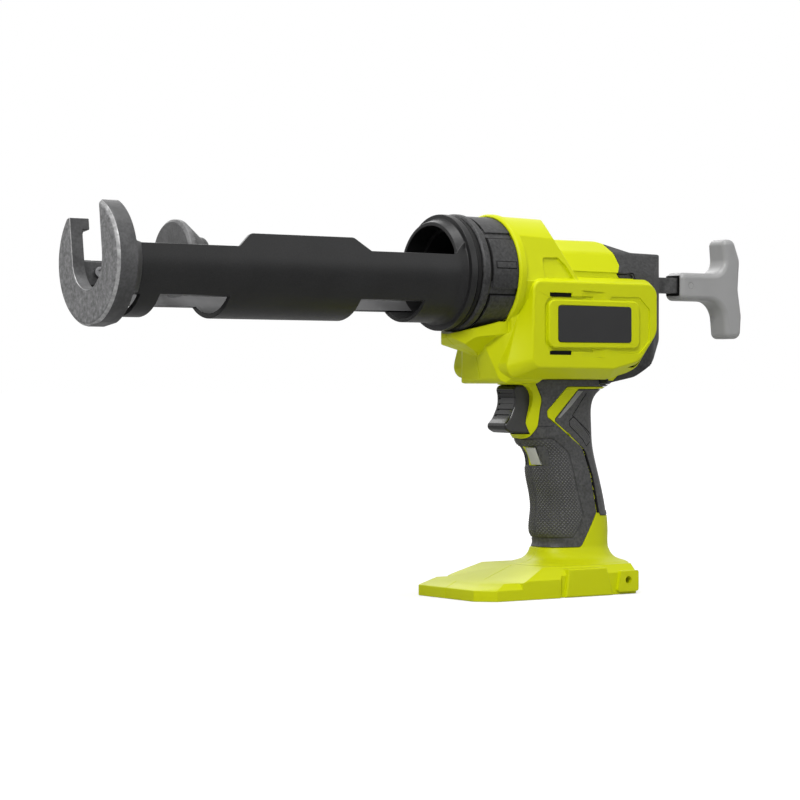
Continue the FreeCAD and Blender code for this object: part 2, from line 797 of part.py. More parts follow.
def toe_form():
    """Toe of the foot: an upright lip with a hipped top."""
    base = -axis_height
    low = toe_points(0.0)
    lip = plan_prism(low, 0, base, base + foot_lip_height)
    edges = [outline(low, 0, plan(base + foot_lip_height)),
             outline(toe_points(foot_margin), 0, plan(base + foot_toe_height))]
    return lip.fuse(Part.makeLoft(edges, True, True))


def toe_points(inset):
    """Plan outline of the toe, drawn in at its front and sides."""
    side_inset = inset / 2
    front = foot_front - inset
    return mirrored_points([
        (front, foot_toe_half_width - side_inset), (front - foot_corner, foot_half_width - side_inset),
        (foot_waist_x, foot_half_width - side_inset)], False)


def pad_form():
    """Left side pad over the battery latch."""
    base = -axis_height
    points = [(pad_front_x, base), (pad_front_x - pad_lean / 2, base + pad_height),
              (pad_rear_x + pad_lean, base + pad_height), (pad_rear_x, base)]
    inner = foot_half_width - foot_shoulder - pad_lean
    pad = side_prism(points, 0, inner, foot_half_width)
    return round_edges(pad, foot_round, edge_on_face(foot_half_width))


def lug_form():
    """Left rear lug with a lanyard hole through it."""
    base = -axis_height
    points = [(foot_rear, base + lug_low), (foot_rear, base + lug_height),
              (lug_front_x - pad_lean / 2, base + lug_height), (lug_front_x, base + lug_low)]
    return side_prism(points, lug_corner, foot_half_width - lug_depth, foot_half_width)


# Inner spaces

def lanyard_cut():
    """Lanyard hole across both rear lugs, ending inside each."""
    z = -axis_height + lanyard_height
    hole = rod_y(lanyard_x, z, foot_half_width - lug_depth, foot_half_width + overrun, lanyard_radius)
    return hole.fuse(mirror_y(hole))


def handle_hollow(inset):
    """Space inside the grip, with the battery socket running on down through the foot."""
    rows = handle_station_shares
    low = -handle_top - rows[-1][0] * handle_length
    space = handle_form(inset)
    mouth = Part.Face(handle_section(rows[-1], inset)).extrude(V(0, 0, -axis_height - overrun - low))
    return space.fuse(mouth)


def hollow_inset():
    """How far the inner space of the grip lies under its outer skin."""
    return rubber_thickness + wall


def below(centre, reach, lean):
    """Next gear centre, behind and below the last by the lean in degrees."""
    angle = math.radians(lean)
    return centre[0] - reach * math.cos(angle), centre[1] - reach * math.sin(angle)


def gear_places():
    """Centres of the drive, idler and motor axes in x and z, from the rack down."""
    pitch_z = rod_bottom + addendum_share * rack_module
    drive = (pinion_x, pitch_z - pinion_teeth * rack_module / 2)
    idler = below(drive, (output_teeth + idler_teeth) * output_module / 2, idler_lean)
    motor = below(idler, (wheel_teeth + motor_teeth) * wheel_module / 2, motor_lean)
    return drive, idler, motor


def bay_floor():
    """Height of the floor that the motor and the gear plates stand on."""
    return gear_places()[2][1] - motor_radius - bay_floor_clear


def plate_box():
    """Front, rear, low and top of the gear plates."""
    drive, idler, _ = gear_places()
    return (bay_front - seat_gap, idler[0] - bush_radius - plate_margin, bay_floor() + seat_gap,
            drive[1] + bearing_radius + plate_margin)


def body_hollow():
    """Motor bay, gear bay, a pit for the large wheel and the rod tunnel inside the body."""
    drive, idler, motor = gear_places()
    floor = bay_floor()
    _, plate_rear, _, plate_top = plate_box()
    gear_reach = output_teeth * output_module / 2 + addendum_share * output_module + gear_clear
    gear_rear = drive[0] - gear_reach
    bay_rear = motor[0] - motor_radius - bay_wall_clear
    chamfer = (2 - math.sqrt(2)) * motor_radius
    motor_bay = side_prism([
        (bay_front, floor), (bay_front, bay_top), (bay_rear, bay_top), (bay_rear, floor + chamfer),
        (bay_rear + chamfer, floor)], 0, -bay_half_width, bay_half_width)
    shoulder = left_plate_y + plate_thickness / 2 + bearing_length / 2 + running_gap
    shoulder_bay = block(plate_rear - running_gap, bay_front, -shoulder, shoulder, floor, plate_top + running_gap)
    gear_side = output_y + output_width + gear_clear
    gear_bay = block(gear_rear, bay_front, -gear_side, gear_side, floor, drive[1] + gear_reach)
    tunnel_half = rod_half_width + tunnel_clear
    tunnel = block(-body_length - overrun, bay_front, -tunnel_half, tunnel_half, bay_top, rod_top + tunnel_clear)
    wheel_reach = wheel_teeth * wheel_module / 2 + addendum_share * wheel_module + gear_clear
    pit = rod_y(*idler, wheel_y - gear_clear, wheel_y + wheel_width + gear_clear, wheel_reach)
    return fuse_all([motor_bay, shoulder_bay, gear_bay, tunnel, pit])


def bush_space(x0, x1, clear):
    """Outer block of a rod bush, let out by a clearance."""
    half = rod_half_width + bush_wall + clear
    return block(x0, x1, -half, half, rod_bottom - bush_wall - clear, rod_top + bush_wall + clear)


def rod_bush(x0, x1):
    """Plain bush with a square bore that the rod slides in."""
    half = rod_half_width + bush_clear
    bore = block(x0 - overrun, x1 + overrun, -half, half, rod_bottom - bush_clear, rod_top + bush_clear)
    return bush_space(x0, x1, 0.0).cut(bore)


def rear_bush_span():
    """Rear and front ends of the rear bush."""
    rear = -body_length + wall
    return rear, rear + bush_length


def trigger_bay():
    """Space that the trigger slides in."""
    half = trigger_half_width + trigger_gap
    return block(switch_front, chin_reach, -half, half, -trigger_top - trigger_height - trigger_gap,
                 -trigger_top + trigger_gap)


def button_window():
    """Windows in the rubber for the lock button: a wide one on the left and a narrow one on the right."""
    rear = button_front - button_depth - running_gap
    half = button_half_length + button_stand + running_gap
    height = button_height / 2 + running_gap
    low, top = -button_drop - height, -button_drop + height
    left = block(rear, 0, -button_bridge, half, low, top)
    return left.fuse(block(rear, 0, -half, -button_right_window, low, top))


def button_channel():
    """Channel across the grip for the lock button, with an open window on each side of a bridge."""
    height = button_height / 2 + running_gap
    low, top = -button_drop - height, -button_drop + height
    channel = block(button_front - button_depth - running_gap, button_front + running_gap, -handle_width,
                    handle_width, low, top)
    half = button_half_length + button_stand + running_gap
    left = block(button_front, 0, button_bridge, half, low, top)
    return fuse_all([channel, left, block(button_front, 0, -half, -button_right_window, low, top)])


def screw_axes():
    """Place in x and z and the depth of the head seat for each case screw."""
    places = [(x * body_length, z * body_depth, depth * core_half_width) for x, z, depth in body_screw_shares]
    for x, z, depth in foot_screw_shares:
        places.append((x * foot_front, -axis_height + z * foot_deck_height, depth * foot_half_width))
    return places


def case_screws(clear):
    """All case screws, let out by a clearance, with a drive socket when there is none."""
    screws = []
    for x, z, depth in screw_axes():
        reach = 2 * foot_half_width if clear else screw_head_height
        head = rod_y(x, z, -depth - reach, -depth, screw_head_radius + clear)
        shank = rod_y(x, z, -depth - screw_head_height / 2, -depth + screw_length + clear, screw_radius + clear)
        screw = head.fuse(shank)
        if not clear:
            top = -depth - screw_head_height
            screw = screw.cut(rod_y(x, z, top - overrun, top + screw_head_height / 2, screw_drive))
        screws.append(screw)
    return screws


# Housing and its covers

def grip_zones(grow):
    """The two rubber zones of the handle, without the lock button's window."""
    grip = zone_prism(grip_zone_shares, grip_zone_corner_shares, grow).cut(button_window())
    strap = zone_prism(strap_zone_shares, strap_zone_corner_shares, grow)
    return grip, strap


def cap_zone():
    """Space that the rear cap takes from the body's core."""
    return side_prism(scaled(cap_edge_shares, body_length, body_depth), 0, -2 * core_half_width, 2 * core_half_width)


def inner_cuts():
    """Everything that is hollow in the case."""
    inset = hollow_inset()
    low = -2 * axis_height
    hollow = handle_hollow(inset).common(block(-2 * body_length, body_length, -handle_width, handle_width, low,
                                               -hollow_top))
    spigot_seat = rod_x(-spigot_base - seat_gap, nose_lip + overrun, spigot_flange + seat_gap)
    collar_seat = rod_x(seat_gap, nose_lip + overrun, collar_pad_radius + running_gap)
    front_bush = bush_space(bay_front - overrun, 0, seat_gap)
    cuts = [hollow, body_hollow(), spigot_seat, collar_seat, front_bush, trigger_bay(), rim_window(),
            button_channel(), lanyard_cut()]
    return cuts + case_screws(screw_clear)


def half_space(way):
    """The space on one side of the seam."""
    reach = 2 * axis_height
    near, far = seam_gap / 2, reach
    if way < 0:
        near, far = -reach, -seam_gap / 2
    return block(-reach, reach, near, far, -reach, reach)


def housing_and_cap():
    """Left and right case halves and the rear cap."""
    core = core_form()
    zone = cap_zone()
    cap = core.common(zone)
    grip, strap = grip_zones(0.0)
    under_rubber = handle_form(rubber_thickness)
    handle = handle_form(0.0).cut(grip.cut(under_rubber)).cut(strap.cut(under_rubber))
    panel = panel_form()
    shell = fuse_all([core.cut(zone), front_block(), chin_form(), handle, flare_form(), lip_form(0.0), foot_form(),
                      panel, mirror_y(panel)])
    shell = shell.cut([core.common(zone_prism_cap())] + inner_cuts())
    rear, front = rear_bush_span()
    cap = cap.cut([body_hollow(), bush_space(rear, front, seat_gap)])
    return shell.common(half_space(1)), shell.common(half_space(-1)), cap


def zone_prism_cap():
    """The rear cap's space, let out by the clearance between the covers."""
    face = Part.Face(outline(scaled(cap_edge_shares, body_length, body_depth), 0, side(-2 * core_half_width)))
    return face.makeOffset2D(seat_gap).extrude(V(0, 4 * core_half_width, 0))


def rubber_grooves():
    """Grooves round the knurled zone and at the seam of the grip, and the sunk panel of the back strap."""
    knurl = zone_prism(knurl_zone_shares, knurl_zone_corner_shares, 0.0)
    ring = knurl.cut(zone_prism(knurl_zone_shares, knurl_zone_corner_shares, -groove_width))
    seam = zone_prism(seam_zone_shares, [0.0] * len(seam_zone_shares), 0.0)
    panel = zone_prism(strap_panel_shares, strap_panel_corner_shares, 0.0)
    under_groove = handle_form(groove_depth)
    return [ring.cut(under_groove), seam.cut(under_groove), panel.cut(handle_form(strap_panel_depth))]


def rubber_pieces():
    """Left and right grip rubbers and back straps."""
    grip, strap = grip_zones(-zone_gap)
    skin = handle_form(0.0).cut(handle_form(rubber_thickness - rubber_gap))
    skin = skin.cut([trigger_bay(), rim_window(), lip_form(seat_gap), core_form().translated(V(0, 0, -zone_gap))])
    skin = skin.cut(rubber_grooves())
    pieces = {}
    for name, zone in (("grip", grip), ("backstrap", strap)):
        piece = skin.common(zone)
        pieces["left_" + name] = piece.common(half_space(1))
        pieces["right_" + name] = piece.common(half_space(-1))
    return pieces


# Nose, lock collar and cradle

def nose_spigot():
    """Flanged tube that the collar and the cradle turn on, pierced for the rod bush."""
    body = turned([(-spigot_base, 0), (-spigot_base, spigot_flange), (0, spigot_flange), (0, spigot_radius),
                   (spigot_length, spigot_radius), (spigot_length, spigot_bore), (0, spigot_bore), (0, 0)])
    return body.cut(bush_space(-2 * spigot_base, spigot_base, seat_gap))


def lock_collar():
    """Twist collar with raised grip pads, and a pocket inside that traps the cradle's catch."""
    front = collar_rear + collar_length
    bore = spigot_radius + running_gap
    pocket = cradle_catch_radius + running_gap
    mouth = cradle_tube_radius + running_gap
    pocket_end = collar_step + cradle_catch_length + 2 * running_gap
    slope_start = front - collar_band - collar_slope
    body = turned([
        (collar_rear, bore), (collar_rear, collar_body_radius - collar_edge),
        (collar_rear + collar_edge, collar_body_radius), (slope_start, collar_body_radius),
        (front - collar_band, collar_front_radius), (front - collar_edge, collar_front_radius),
        (front, collar_front_radius - collar_edge), (front, mouth), (pocket_end, mouth), (pocket_end, pocket),
        (collar_step, pocket), (collar_step, bore)])
    low = collar_body_radius - collar_edge
    strip = [(collar_rear + collar_pad_margin, low), (collar_rear + collar_pad_margin, collar_pad_radius),
             (slope_start - collar_pad_margin, collar_pad_radius), (slope_start - collar_pad_margin, low)]
    pad = Part.Face(outline(strip, 0, plan(0))).revolve(V(0, 0, 0), V(1, 0, 0), collar_pad_angle)
    for i in range(collar_pads):
        turn = collar_pad_start + 360 * i / collar_pads
        body = body.fuse(pad.rotated(V(0, 0, 0), V(1, 0, 0), turn))
    return body


def cradle_tube(x0, x1, outer, inner):
    """Tube about the barrel axis."""
    return rod_x(x0, x1, outer).cut(rod_x(x0 - overrun, x1 + overrun, inner))


def below_plane(x0, x1, z):
    """Space under a level plane between two cross planes."""
    reach = 2 * cradle_radius
    return block(x0, x1, -reach, reach, -reach, z)


def cradle_frame():
    """Cradle: turning tube at the rear, two long rails with raised cheeks, a saddle and a front hoop."""
    inner = cradle_radius - cradle_wall
    tube_rear = collar_step + running_gap
    neck_x = cradle_flange_x + cradle_flange_length
    ring = turned([
        (tube_rear, cradle_bore), (tube_rear, cradle_catch_radius),
        (tube_rear + cradle_catch_length, cradle_catch_radius), (tube_rear + cradle_catch_length, cradle_tube_radius),
        (cradle_flange_x, cradle_tube_radius), (cradle_flange_x, cradle_flange_radius),
        (neck_x, cradle_flange_radius), (neck_x, cradle_neck_radius), (cradle_lip_x, cradle_radius),
        (cradle_lip_x, cradle_bore)])
    overlap = cradle_wall / 2
    shell = cradle_tube(neck_x, cradle_end_x, cradle_radius, inner)
    band = shell.common(block(neck_x, cradle_end_x, 0, 2 * cradle_radius, rail_bottom, overlap))
    upright = block(neck_x, cradle_end_x, inner, cradle_radius, 0, rail_top)
    cheek = side_prism([
        (cheek_rear_x, rail_top - overlap), (cheek_rear_x, rail_top), (cheek_rear_x + cheek_rear_ramp, cheek_top),
        (cheek_front_x - cheek_front_ramp, cheek_top), (cheek_front_x, rail_top), (cheek_front_x, rail_top - overlap)],
        [0, 0, cheek_round, cheek_round, 0, 0], inner, cradle_radius)
    gusset = side_prism([
        (neck_x, rail_top - overlap), (neck_x, rail_top + gusset_rise), (neck_x + gusset_length, rail_top),
        (neck_x + gusset_length, rail_top - overlap)], 0, inner, cradle_radius)
    rail = fuse_all([band, upright, cheek, gusset])
    lower = cradle_tube(neck_x, cradle_lower_x, cradle_radius, cradle_bore)
    hoops = [lower.common(below_plane(neck_x, cradle_lower_x, rail_bottom + overlap))]
    for x0, x1 in ((saddle_rear_x, saddle_front_x), (front_hoop_x, front_hoop_end)):
        hoops.append(shell.common(below_plane(x0, x1, rail_bottom + overlap)))
    frame = fuse_all([ring, rail, mirror_y(rail)] + hoops)
    frame = frame.cut(rod_x(tube_rear - overrun, cradle_lip_x + overrun, cradle_bore))
    return frame.cut([screw_hole(way) for way in (1, -1)])


def collar_seal():
    """Ring seal between the lock collar and the cradle's flange."""
    rear = collar_rear + collar_length + running_gap
    front = cradle_flange_x - seat_gap
    inner = cradle_tube_radius + seat_gap
    return turned([(rear, inner), (rear, seal_radius - seal_edge), (rear + seal_edge, seal_radius),
                   (front - seal_edge, seal_radius), (front, seal_radius - seal_edge), (front, inner)])


def tab_face():
    """Place in y of the inner face of the fork's tabs."""
    return cradle_radius - cradle_wall - seat_gap - fork_tab_thickness


def screw_hole(way):
    """Hole for one fork screw, from the tab's inner face into the rail."""
    reach = cradle_radius - fork_screw_cover
    hole = rod_y(fork_screw_x, fork_screw_z, tab_face() - overrun, reach, fork_screw_radius + seat_gap)
    return hole if way > 0 else mirror_y(hole)


def fork_screws():
    """The two screws that hold the fork's tabs to the rails, heads inside."""
    face = tab_face()
    head = rod_y(fork_screw_x, fork_screw_z, face - fork_screw_head_height, face, fork_screw_head)
    reach = cradle_radius - fork_screw_cover - seat_gap
    shank = rod_y(fork_screw_x, fork_screw_z, face - seat_gap, reach, fork_screw_radius)
    socket = rod_y(fork_screw_x, fork_screw_z, face - fork_screw_head_height - overrun,
                   face - fork_screw_head_height + fork_screw_socket_depth, fork_screw_socket)
    screw = head.fuse(shank).cut(socket)
    return [screw, mirror_y(screw)]


def front_fork():
    """Cast fork: a bevelled cup with a nozzle slot, hooked tips, side sleeves and inner tabs."""
    rear = fork_front_x - fork_plate
    wide = 2 * fork_radius
    plate = turned([(rear, 0), (rear, fork_radius), (fork_front_x - fork_bevel, fork_radius),
                    (fork_front_x, fork_radius - fork_bevel), (fork_front_x, 0)])
    pocket = rod_x(rear - overrun, rear + fork_pocket, fork_radius - fork_rim)
    plate = plate.cut(pocket.common(block(rear - overrun, fork_front_x, -wide, wide, -wide, fork_hook_z)))
    sleeve_rear = cradle_end_x + seat_gap
    inner = cradle_radius - cradle_wall
    sleeve = turned([(sleeve_rear, inner), (sleeve_rear, fork_sleeve_radius), (rear, fork_radius),
                     (rear + join, fork_radius), (rear + join, inner)])
    sleeve = sleeve.common(block(cradle_end_x, fork_front_x, -wide, wide, rail_bottom, rail_top))
    reach = inner - seat_gap
    tab = rod_x(rear - fork_tab_length, rear + fork_pocket + join, reach)
    tab = tab.common(block(rear - fork_tab_length, fork_front_x, tab_face(), reach, fork_tab_bottom, fork_tab_top))
    fork = fuse_all([plate, sleeve, tab, mirror_y(tab)])
    far = fork_front_x + overrun
    near = rear - fork_tab_length
    mouth = fork_slot_half + fork_slot_flare
    slot = cross_prism([(fork_slot_half, fork_slot_centre), (mouth, wide), (-mouth, wide),
                        (-fork_slot_half, fork_slot_centre)], 0, near, far)
    round_end = rod_x(near, far, fork_slot_half, fork_slot_centre)
    tip_slope = (fork_left_tip_z - fork_right_tip_z) / (2 * fork_slot_half)
    tip_middle = (fork_left_tip_z + fork_right_tip_z) / 2
    tips = cross_prism([(wide, tip_middle + tip_slope * wide), (wide, wide), (-wide, wide),
                        (-wide, tip_middle - tip_slope * wide)], 0, near, far)
    flat = block(near, far, -wide, wide, -wide, fork_flat_z)
    return fork.cut([slot, round_end, tips, flat] + [screw_hole(way) for way in (1, -1)])


# Rack rod, plunger and pull handle

def rod_centre():
    """Height of the rod's middle."""
    return (rod_top + rod_bottom) / 2


def rack_gap_points():
    """Underside of the rack from rear to front, as the four points of each gap between teeth."""
    pitch = math.pi * rack_module
    slope = math.tan(math.radians(pressure_angle))
    half = pitch / 4 * (1 - backlash_share)
    tip_half = half - addendum_share * rack_module * slope
    root_half = half + dedendum_share * rack_module * slope
    root_z = rod_bottom + (addendum_share + dedendum_share) * rack_module
    first = -math.ceil(rod_forward_travel / pitch) - rack_spare_teeth
    last = math.ceil(rod_back_travel / pitch) + rack_spare_teeth
    points = []
    for i in range(first, last + 1):
        x = pinion_x + i * pitch
        points.append((x - pitch / 2 + tip_half, rod_bottom))
        points.append((x - pitch / 2 + root_half, root_z))
        points.append((x + pitch / 2 - root_half, root_z))
        points.append((x + pitch / 2 - tip_half, rod_bottom))
    return points


def plunger_rod():
    """Square steel rod with rack teeth on its underside, drilled at both ends."""
    points = [(rod_front_x, rod_top), (rod_rear_x, rod_top), (rod_rear_x, rod_bottom)]
    points += rack_gap_points() + [(rod_front_x, rod_bottom)]
    rod = side_prism(points, 0, -rod_half_width, rod_half_width)
    bolt = rod_x(rod_front_x - disc_screw_length, rod_front_x + overrun, disc_screw_radius + seat_gap, rod_centre())
    pin = rod_y(pull_pin_x, rod_centre(), -2 * rod_half_width, 2 * rod_half_width, pull_pin_radius + seat_gap)
    return rod.cut([bolt, pin])


def plunger_disc():
    """Plunger disc: a flat face with a chamfered rim on a tapering hub."""
    front = rod_front_x + disc_length
    disc = turned([
        (rod_front_x, 0), (rod_front_x, disc_hub_radius), (rod_front_x + disc_hub_length, disc_hub_radius),
        (front - disc_rim, disc_radius), (front - disc_edge, disc_radius), (front, disc_radius - disc_edge),
        (front, 0)])
    disc = disc.translated(V(0, 0, disc_rise))
    bore = rod_x(rod_front_x - overrun, front + overrun, disc_screw_radius + seat_gap, rod_centre())
    recess = rod_x(front - disc_screw_head_height - seat_gap, front + overrun, disc_screw_head + seat_gap,
                   rod_centre())
    return disc.cut([bore, recess])


def plunger_screw():
    """Socket screw that holds the disc to the rod."""
    front = rod_front_x + disc_length
    seat = front - disc_screw_head_height - seat_gap
    head = rod_x(seat, front - seat_gap, disc_screw_head, rod_centre())
    shank = rod_x(rod_front_x - disc_screw_length + disc_screw_clear, seat + seat_gap, disc_screw_radius,
                  rod_centre())
    socket = rod_x(front - disc_screw_head_height / 2, front + overrun, disc_screw_socket, rod_centre())
    return head.fuse(shank).cut(socket)


def pull_handle():
    """T handle on the rod's rear end, with a bulged crossbar and a socket for the rod."""
    points = [(pull_stem_front + u * pull_length, v * pull_reach) for u, v in pull_shares]
    radii = [share * pull_corner for share in pull_corner_shares]
    body = side_prism(points, radii, -pull_half_width, pull_half_width)
    body = round_edges(body, pull_edge, edge_on_face(pull_half_width))
    body = round_edges(body, pull_edge, edge_on_face(-pull_half_width))
    half = rod_half_width + pull_socket_clear
    socket = block(rod_rear_x - pull_socket_clear, pull_stem_front + overrun, -half, half,
                   rod_bottom - pull_socket_clear, rod_top + pull_socket_clear)
    pin = rod_y(pull_pin_x, rod_centre(), -2 * pull_half_width, 2 * pull_half_width, pull_pin_radius + seat_gap)
    return body.cut([socket, pin])


def pull_pin():
    """Cross pin that holds the pull handle on the rod."""
    reach = pull_half_width - seat_gap
    return rod_y(pull_pin_x, rod_centre(), -reach, reach, pull_pin_radius)


# Gears and the gearmotor

def tooth_half_angle(radius, base, pitch_half):
    """Half the angle that a tooth takes up at a radius, from the involute of its base circle."""
    roll = math.acos(min(1.0, base / radius))
    start = math.radians(pressure_angle)
    return pitch_half + math.tan(start) - start - math.tan(roll) + roll


def gear(centre, module, teeth, y0, y1, bore, tooth_angle):
    """Spur gear on a shaft along y, with one tooth pointing along the given angle in the x-z plane."""
    pitch_radius = module * teeth / 2
    base = pitch_radius * math.cos(math.radians(pressure_angle))
    tip = pitch_radius + addendum_share * module
    root = pitch_radius - dedendum_share * module
    pitch_half = math.pi / 2 / teeth * (1 - backlash_share)
    flank = [root, max(base, root + module * backlash_share), pitch_radius, tip]
    points = []
    for i in range(teeth):
        middle = tooth_angle + 2 * math.pi * i / teeth
        halves = [(radius, tooth_half_angle(max(radius, base), base, pitch_half)) for radius in flank]
        turns = [(radius, middle - half) for radius, half in halves]
        turns += [(radius, middle + half) for radius, half in reversed(halves)]
        points += [(centre[0] + r * math.cos(a), centre[1] + r * math.sin(a)) for r, a in turns]
    return side_prism(points, 0, y0, y1).cut(rod_y(*centre, y0 - overrun, y1 + overrun, bore))


def pointing(start, end):
    """Angle from one axis to another in the x-z plane."""
    return math.atan2(end[1] - start[1], end[0] - start[0])


def lightened(shape, centre, y0, y1, inner, outer):
    """Gear with a ring of round holes through its web."""
    hole_radius = (outer - inner) / 4
    reach = (outer + inner) / 2
    holes = []
    for i in range(gear_web_holes):
        angle = 2 * math.pi * i / gear_web_holes
        holes.append(rod_y(centre[0] + reach * math.cos(angle), centre[1] + reach * math.sin(angle), y0 - overrun,
                           y1 + overrun, hole_radius))
    return shape.cut(holes)


def gear_pieces():
    """Rack pinion, output gear, idler pinion, wheel and motor pinion, in mesh."""
    drive, idler, motor = gear_places()
    drive_bore = drive_shaft_radius + fit_gap
    idler_bore = idler_shaft_radius + fit_gap
    pinion = gear(drive, rack_module, pinion_teeth, -pinion_half_width, pinion_half_width, drive_bore, math.pi / 2)
    to_idler = pointing(drive, idler)
    output = gear(drive, output_module, output_teeth, output_y, output_y + output_width, drive_bore, to_idler)
    output = lightened(output, drive, output_y, output_y + output_width, drive_bore, output_module * output_teeth / 2)
    middle = output_y + output_width / 2
    half_step = math.pi / idler_teeth
    idler_gear = gear(idler, output_module, idler_teeth, middle - idler_width / 2, middle + idler_width / 2, idler_bore,
                      to_idler + math.pi + half_step)
    to_motor = pointing(idler, motor)
    wheel = gear(idler, wheel_module, wheel_teeth, wheel_y, wheel_y + wheel_width, idler_bore, to_motor)
    wheel = lightened(wheel, idler, wheel_y, wheel_y + wheel_width, idler_bore, wheel_module * wheel_teeth / 2)
    middle = wheel_y + wheel_width / 2
    half_step = math.pi / motor_teeth
    motor_gear = gear(motor, wheel_module, motor_teeth, middle - motor_pinion_width / 2, middle + motor_pinion_width / 2,
                      motor_shaft_radius + fit_gap, to_motor + math.pi + half_step)
    return {"drive_pinion": pinion, "output_gear": output, "idler_pinion": idler_gear, "idler_gear": wheel,
            "motor_pinion": motor_gear}


def bearing_spans():
    """Ends of the bearings in the right and the left plate."""
    spans = []
    for plate_y in (right_plate_y, left_plate_y):
        middle = plate_y + plate_thickness / 2
        spans.append((middle - bearing_length / 2, middle + bearing_length / 2))
    return spans


def shaft_pieces():
    """Drive and idler shafts, their bearings, and the gearbox's output shaft."""
    drive, idler, motor = gear_places()
    right, left = bearing_spans()
    drive_rings = [ring_y(*drive, *span, bearing_radius, drive_shaft_radius + fit_gap) for span in (right, left)]
    idler_rings = [ring_y(*idler, *span, bush_radius, idler_shaft_radius + fit_gap) for span in (right, left)]
    motor_end = wheel_y + wheel_width / 2 + motor_pinion_width / 2
    return {"drive_shaft": rod_y(*drive, right[0], left[1], drive_shaft_radius),
            "idler_shaft": rod_y(*idler, right[0], left[1], idler_shaft_radius),
            "drive_bearings": Part.makeCompound(drive_rings),
            "idler_bushes": Part.makeCompound(idler_rings),
            "gearbox_shaft": rod_y(*motor, gearbox_front_y - gearbox_bore_depth, motor_end, motor_shaft_radius)}


def gear_plate(y0):
    """Steel side plate of the gear frame, with its two bearing seats."""
    drive, idler, _ = gear_places()
    front, rear, low, top = plate_box()
    plate = side_prism([(front, low), (front, top), (rear, top), (rear, low)], plate_corner, y0, y0 + plate_thickness)
    seats = [(drive, bearing_radius), (idler, bush_radius)]
    holes = [rod_y(*centre, y0 - overrun, y0 + plate_thickness + overrun, radius + fit_gap) for centre, radius in seats]
    return plate.cut(holes)


def plate_spacers():
    """Round spacers between the two gear plates."""
    front, rear, low, top = plate_box()
    y0 = right_plate_y + plate_thickness
    spacers = []
    for along, up in spacer_shares:
        x = front + along * (rear - front)
        z = low + up * (top - low)
        spacers.append(rod_y(x, z, y0, left_plate_y, spacer_radius))
    return Part.makeCompound(spacers)


def gearbox_case():
    """Planetary gearbox: a ribbed round case with a short nose round its output shaft."""
    motor = gear_places()[2]
    rear = gearbox_front_y - gearbox_length
    case = rod_y(*motor, rear, gearbox_front_y, gearbox_radius - gearbox_rib_radius)
    nose_end = gearbox_front_y + gearbox_nose_length
    case = case.fuse(rod_y(*motor, gearbox_front_y - join, nose_end, gearbox_nose_radius))
    reach = gearbox_radius - gearbox_rib_radius
    ribs = []
    for i in range(gearbox_ribs):
        angle = 2 * math.pi * i / gearbox_ribs
        ribs.append(rod_y(motor[0] + reach * math.cos(angle), motor[1] + reach * math.sin(angle), rear, gearbox_front_y,
                          gearbox_rib_radius))
    bore = rod_y(*motor, gearbox_front_y - gearbox_bore_depth - seat_gap, gearbox_front_y + overrun,
                 motor_shaft_radius + fit_gap)
    return case.multiFuse(ribs).cut(bore)


def motor_pieces():
    """Motor can with two flats and cooling slots, and its brush cap."""
    motor = gear_places()[2]
    front = gearbox_front_y - gearbox_length
    rear = front - motor_length
    can = rod_y(*motor, rear, front, motor_radius)
    for way in (-1, 1):
        edge = motor[0] + way * motor_flat
        outer = edge + way * motor_radius
        can = can.cut(block(min(edge, outer), max(edge, outer), rear - overrun, front + overrun,
                            motor[1] - motor_radius, motor[1] + motor_radius))
    half = motor_vent_width / 2
    slot = block(motor[0] - half, motor[0] + half, rear + motor_vent_width, rear + motor_vent_width + motor_vent_length,
                 motor[1] + motor_radius - motor_vent_width, motor[1] + motor_radius + overrun)
    can = can.cut(slot)
    cap = rod_y(*motor, rear - motor_cap_length, rear, motor_radius - motor_cap_inset)
    return {"motor_can": can, "motor_end_cap": cap}


# Trigger, switch, lock button and terminals

def trigger_form():
    """Trigger's side outline carried across, with its finger edges rounded."""
    depth = trigger_toe - trigger_back
    points = [(trigger_toe - u * depth, -trigger_top + v * trigger_height) for u, v in trigger_front_shares]
    radii = [share * trigger_corner for share in trigger_corner_shares]
    body = side_prism(points, radii, -trigger_half_width, trigger_half_width)
    for side_y in (-trigger_half_width, trigger_half_width):
        on_side = edge_on_face(side_y)
        body = round_edges(body, trigger_edge,
                           lambda edge: on_side(edge) and edge.BoundBox.XMax > trigger_back + shortest_edge)
    return body


def trigger():
    """Trigger with finger ribs across its front."""
    body = trigger_form()
    behind = body.translated(V(-trigger_rib_depth, 0, 0))
    first, last = trigger_rib_shares
    half = trigger_half_width - trigger_edge - trigger_rib_margin
    for i in range(trigger_ribs):
        share = first + (last - first) * i / (trigger_ribs - 1)
        z = -trigger_top - share * trigger_height
        slab = block(trigger_back + overrun, chin_reach, -half, half, z - trigger_rib_width / 2,
                     z + trigger_rib_width / 2)
        body = body.cut(slab.cut(behind))
    return body


def plunger_pin_height():
    """Height of the switch's plunger pin."""
    return -switch_drop - switch_height / 2


def switch_plunger():
    """Pin on the trigger's back that works the switch."""
    return rod_x(trigger_back - plunger_pin_length, trigger_back, plunger_pin_radius, plunger_pin_height())


def switch_module():
    """Closed trigger switch with a bore for its plunger."""
    body = block(switch_front - switch_length, switch_front, -switch_half_width, switch_half_width,
                 -switch_drop - switch_height, -switch_drop)
    depth = plunger_pin_length + trigger_stroke - (trigger_back - switch_front) + switch_bore_spare
    bore = rod_x(switch_front - depth, switch_front + overrun, plunger_pin_radius + running_gap, plunger_pin_height())
    return body.cut(bore)


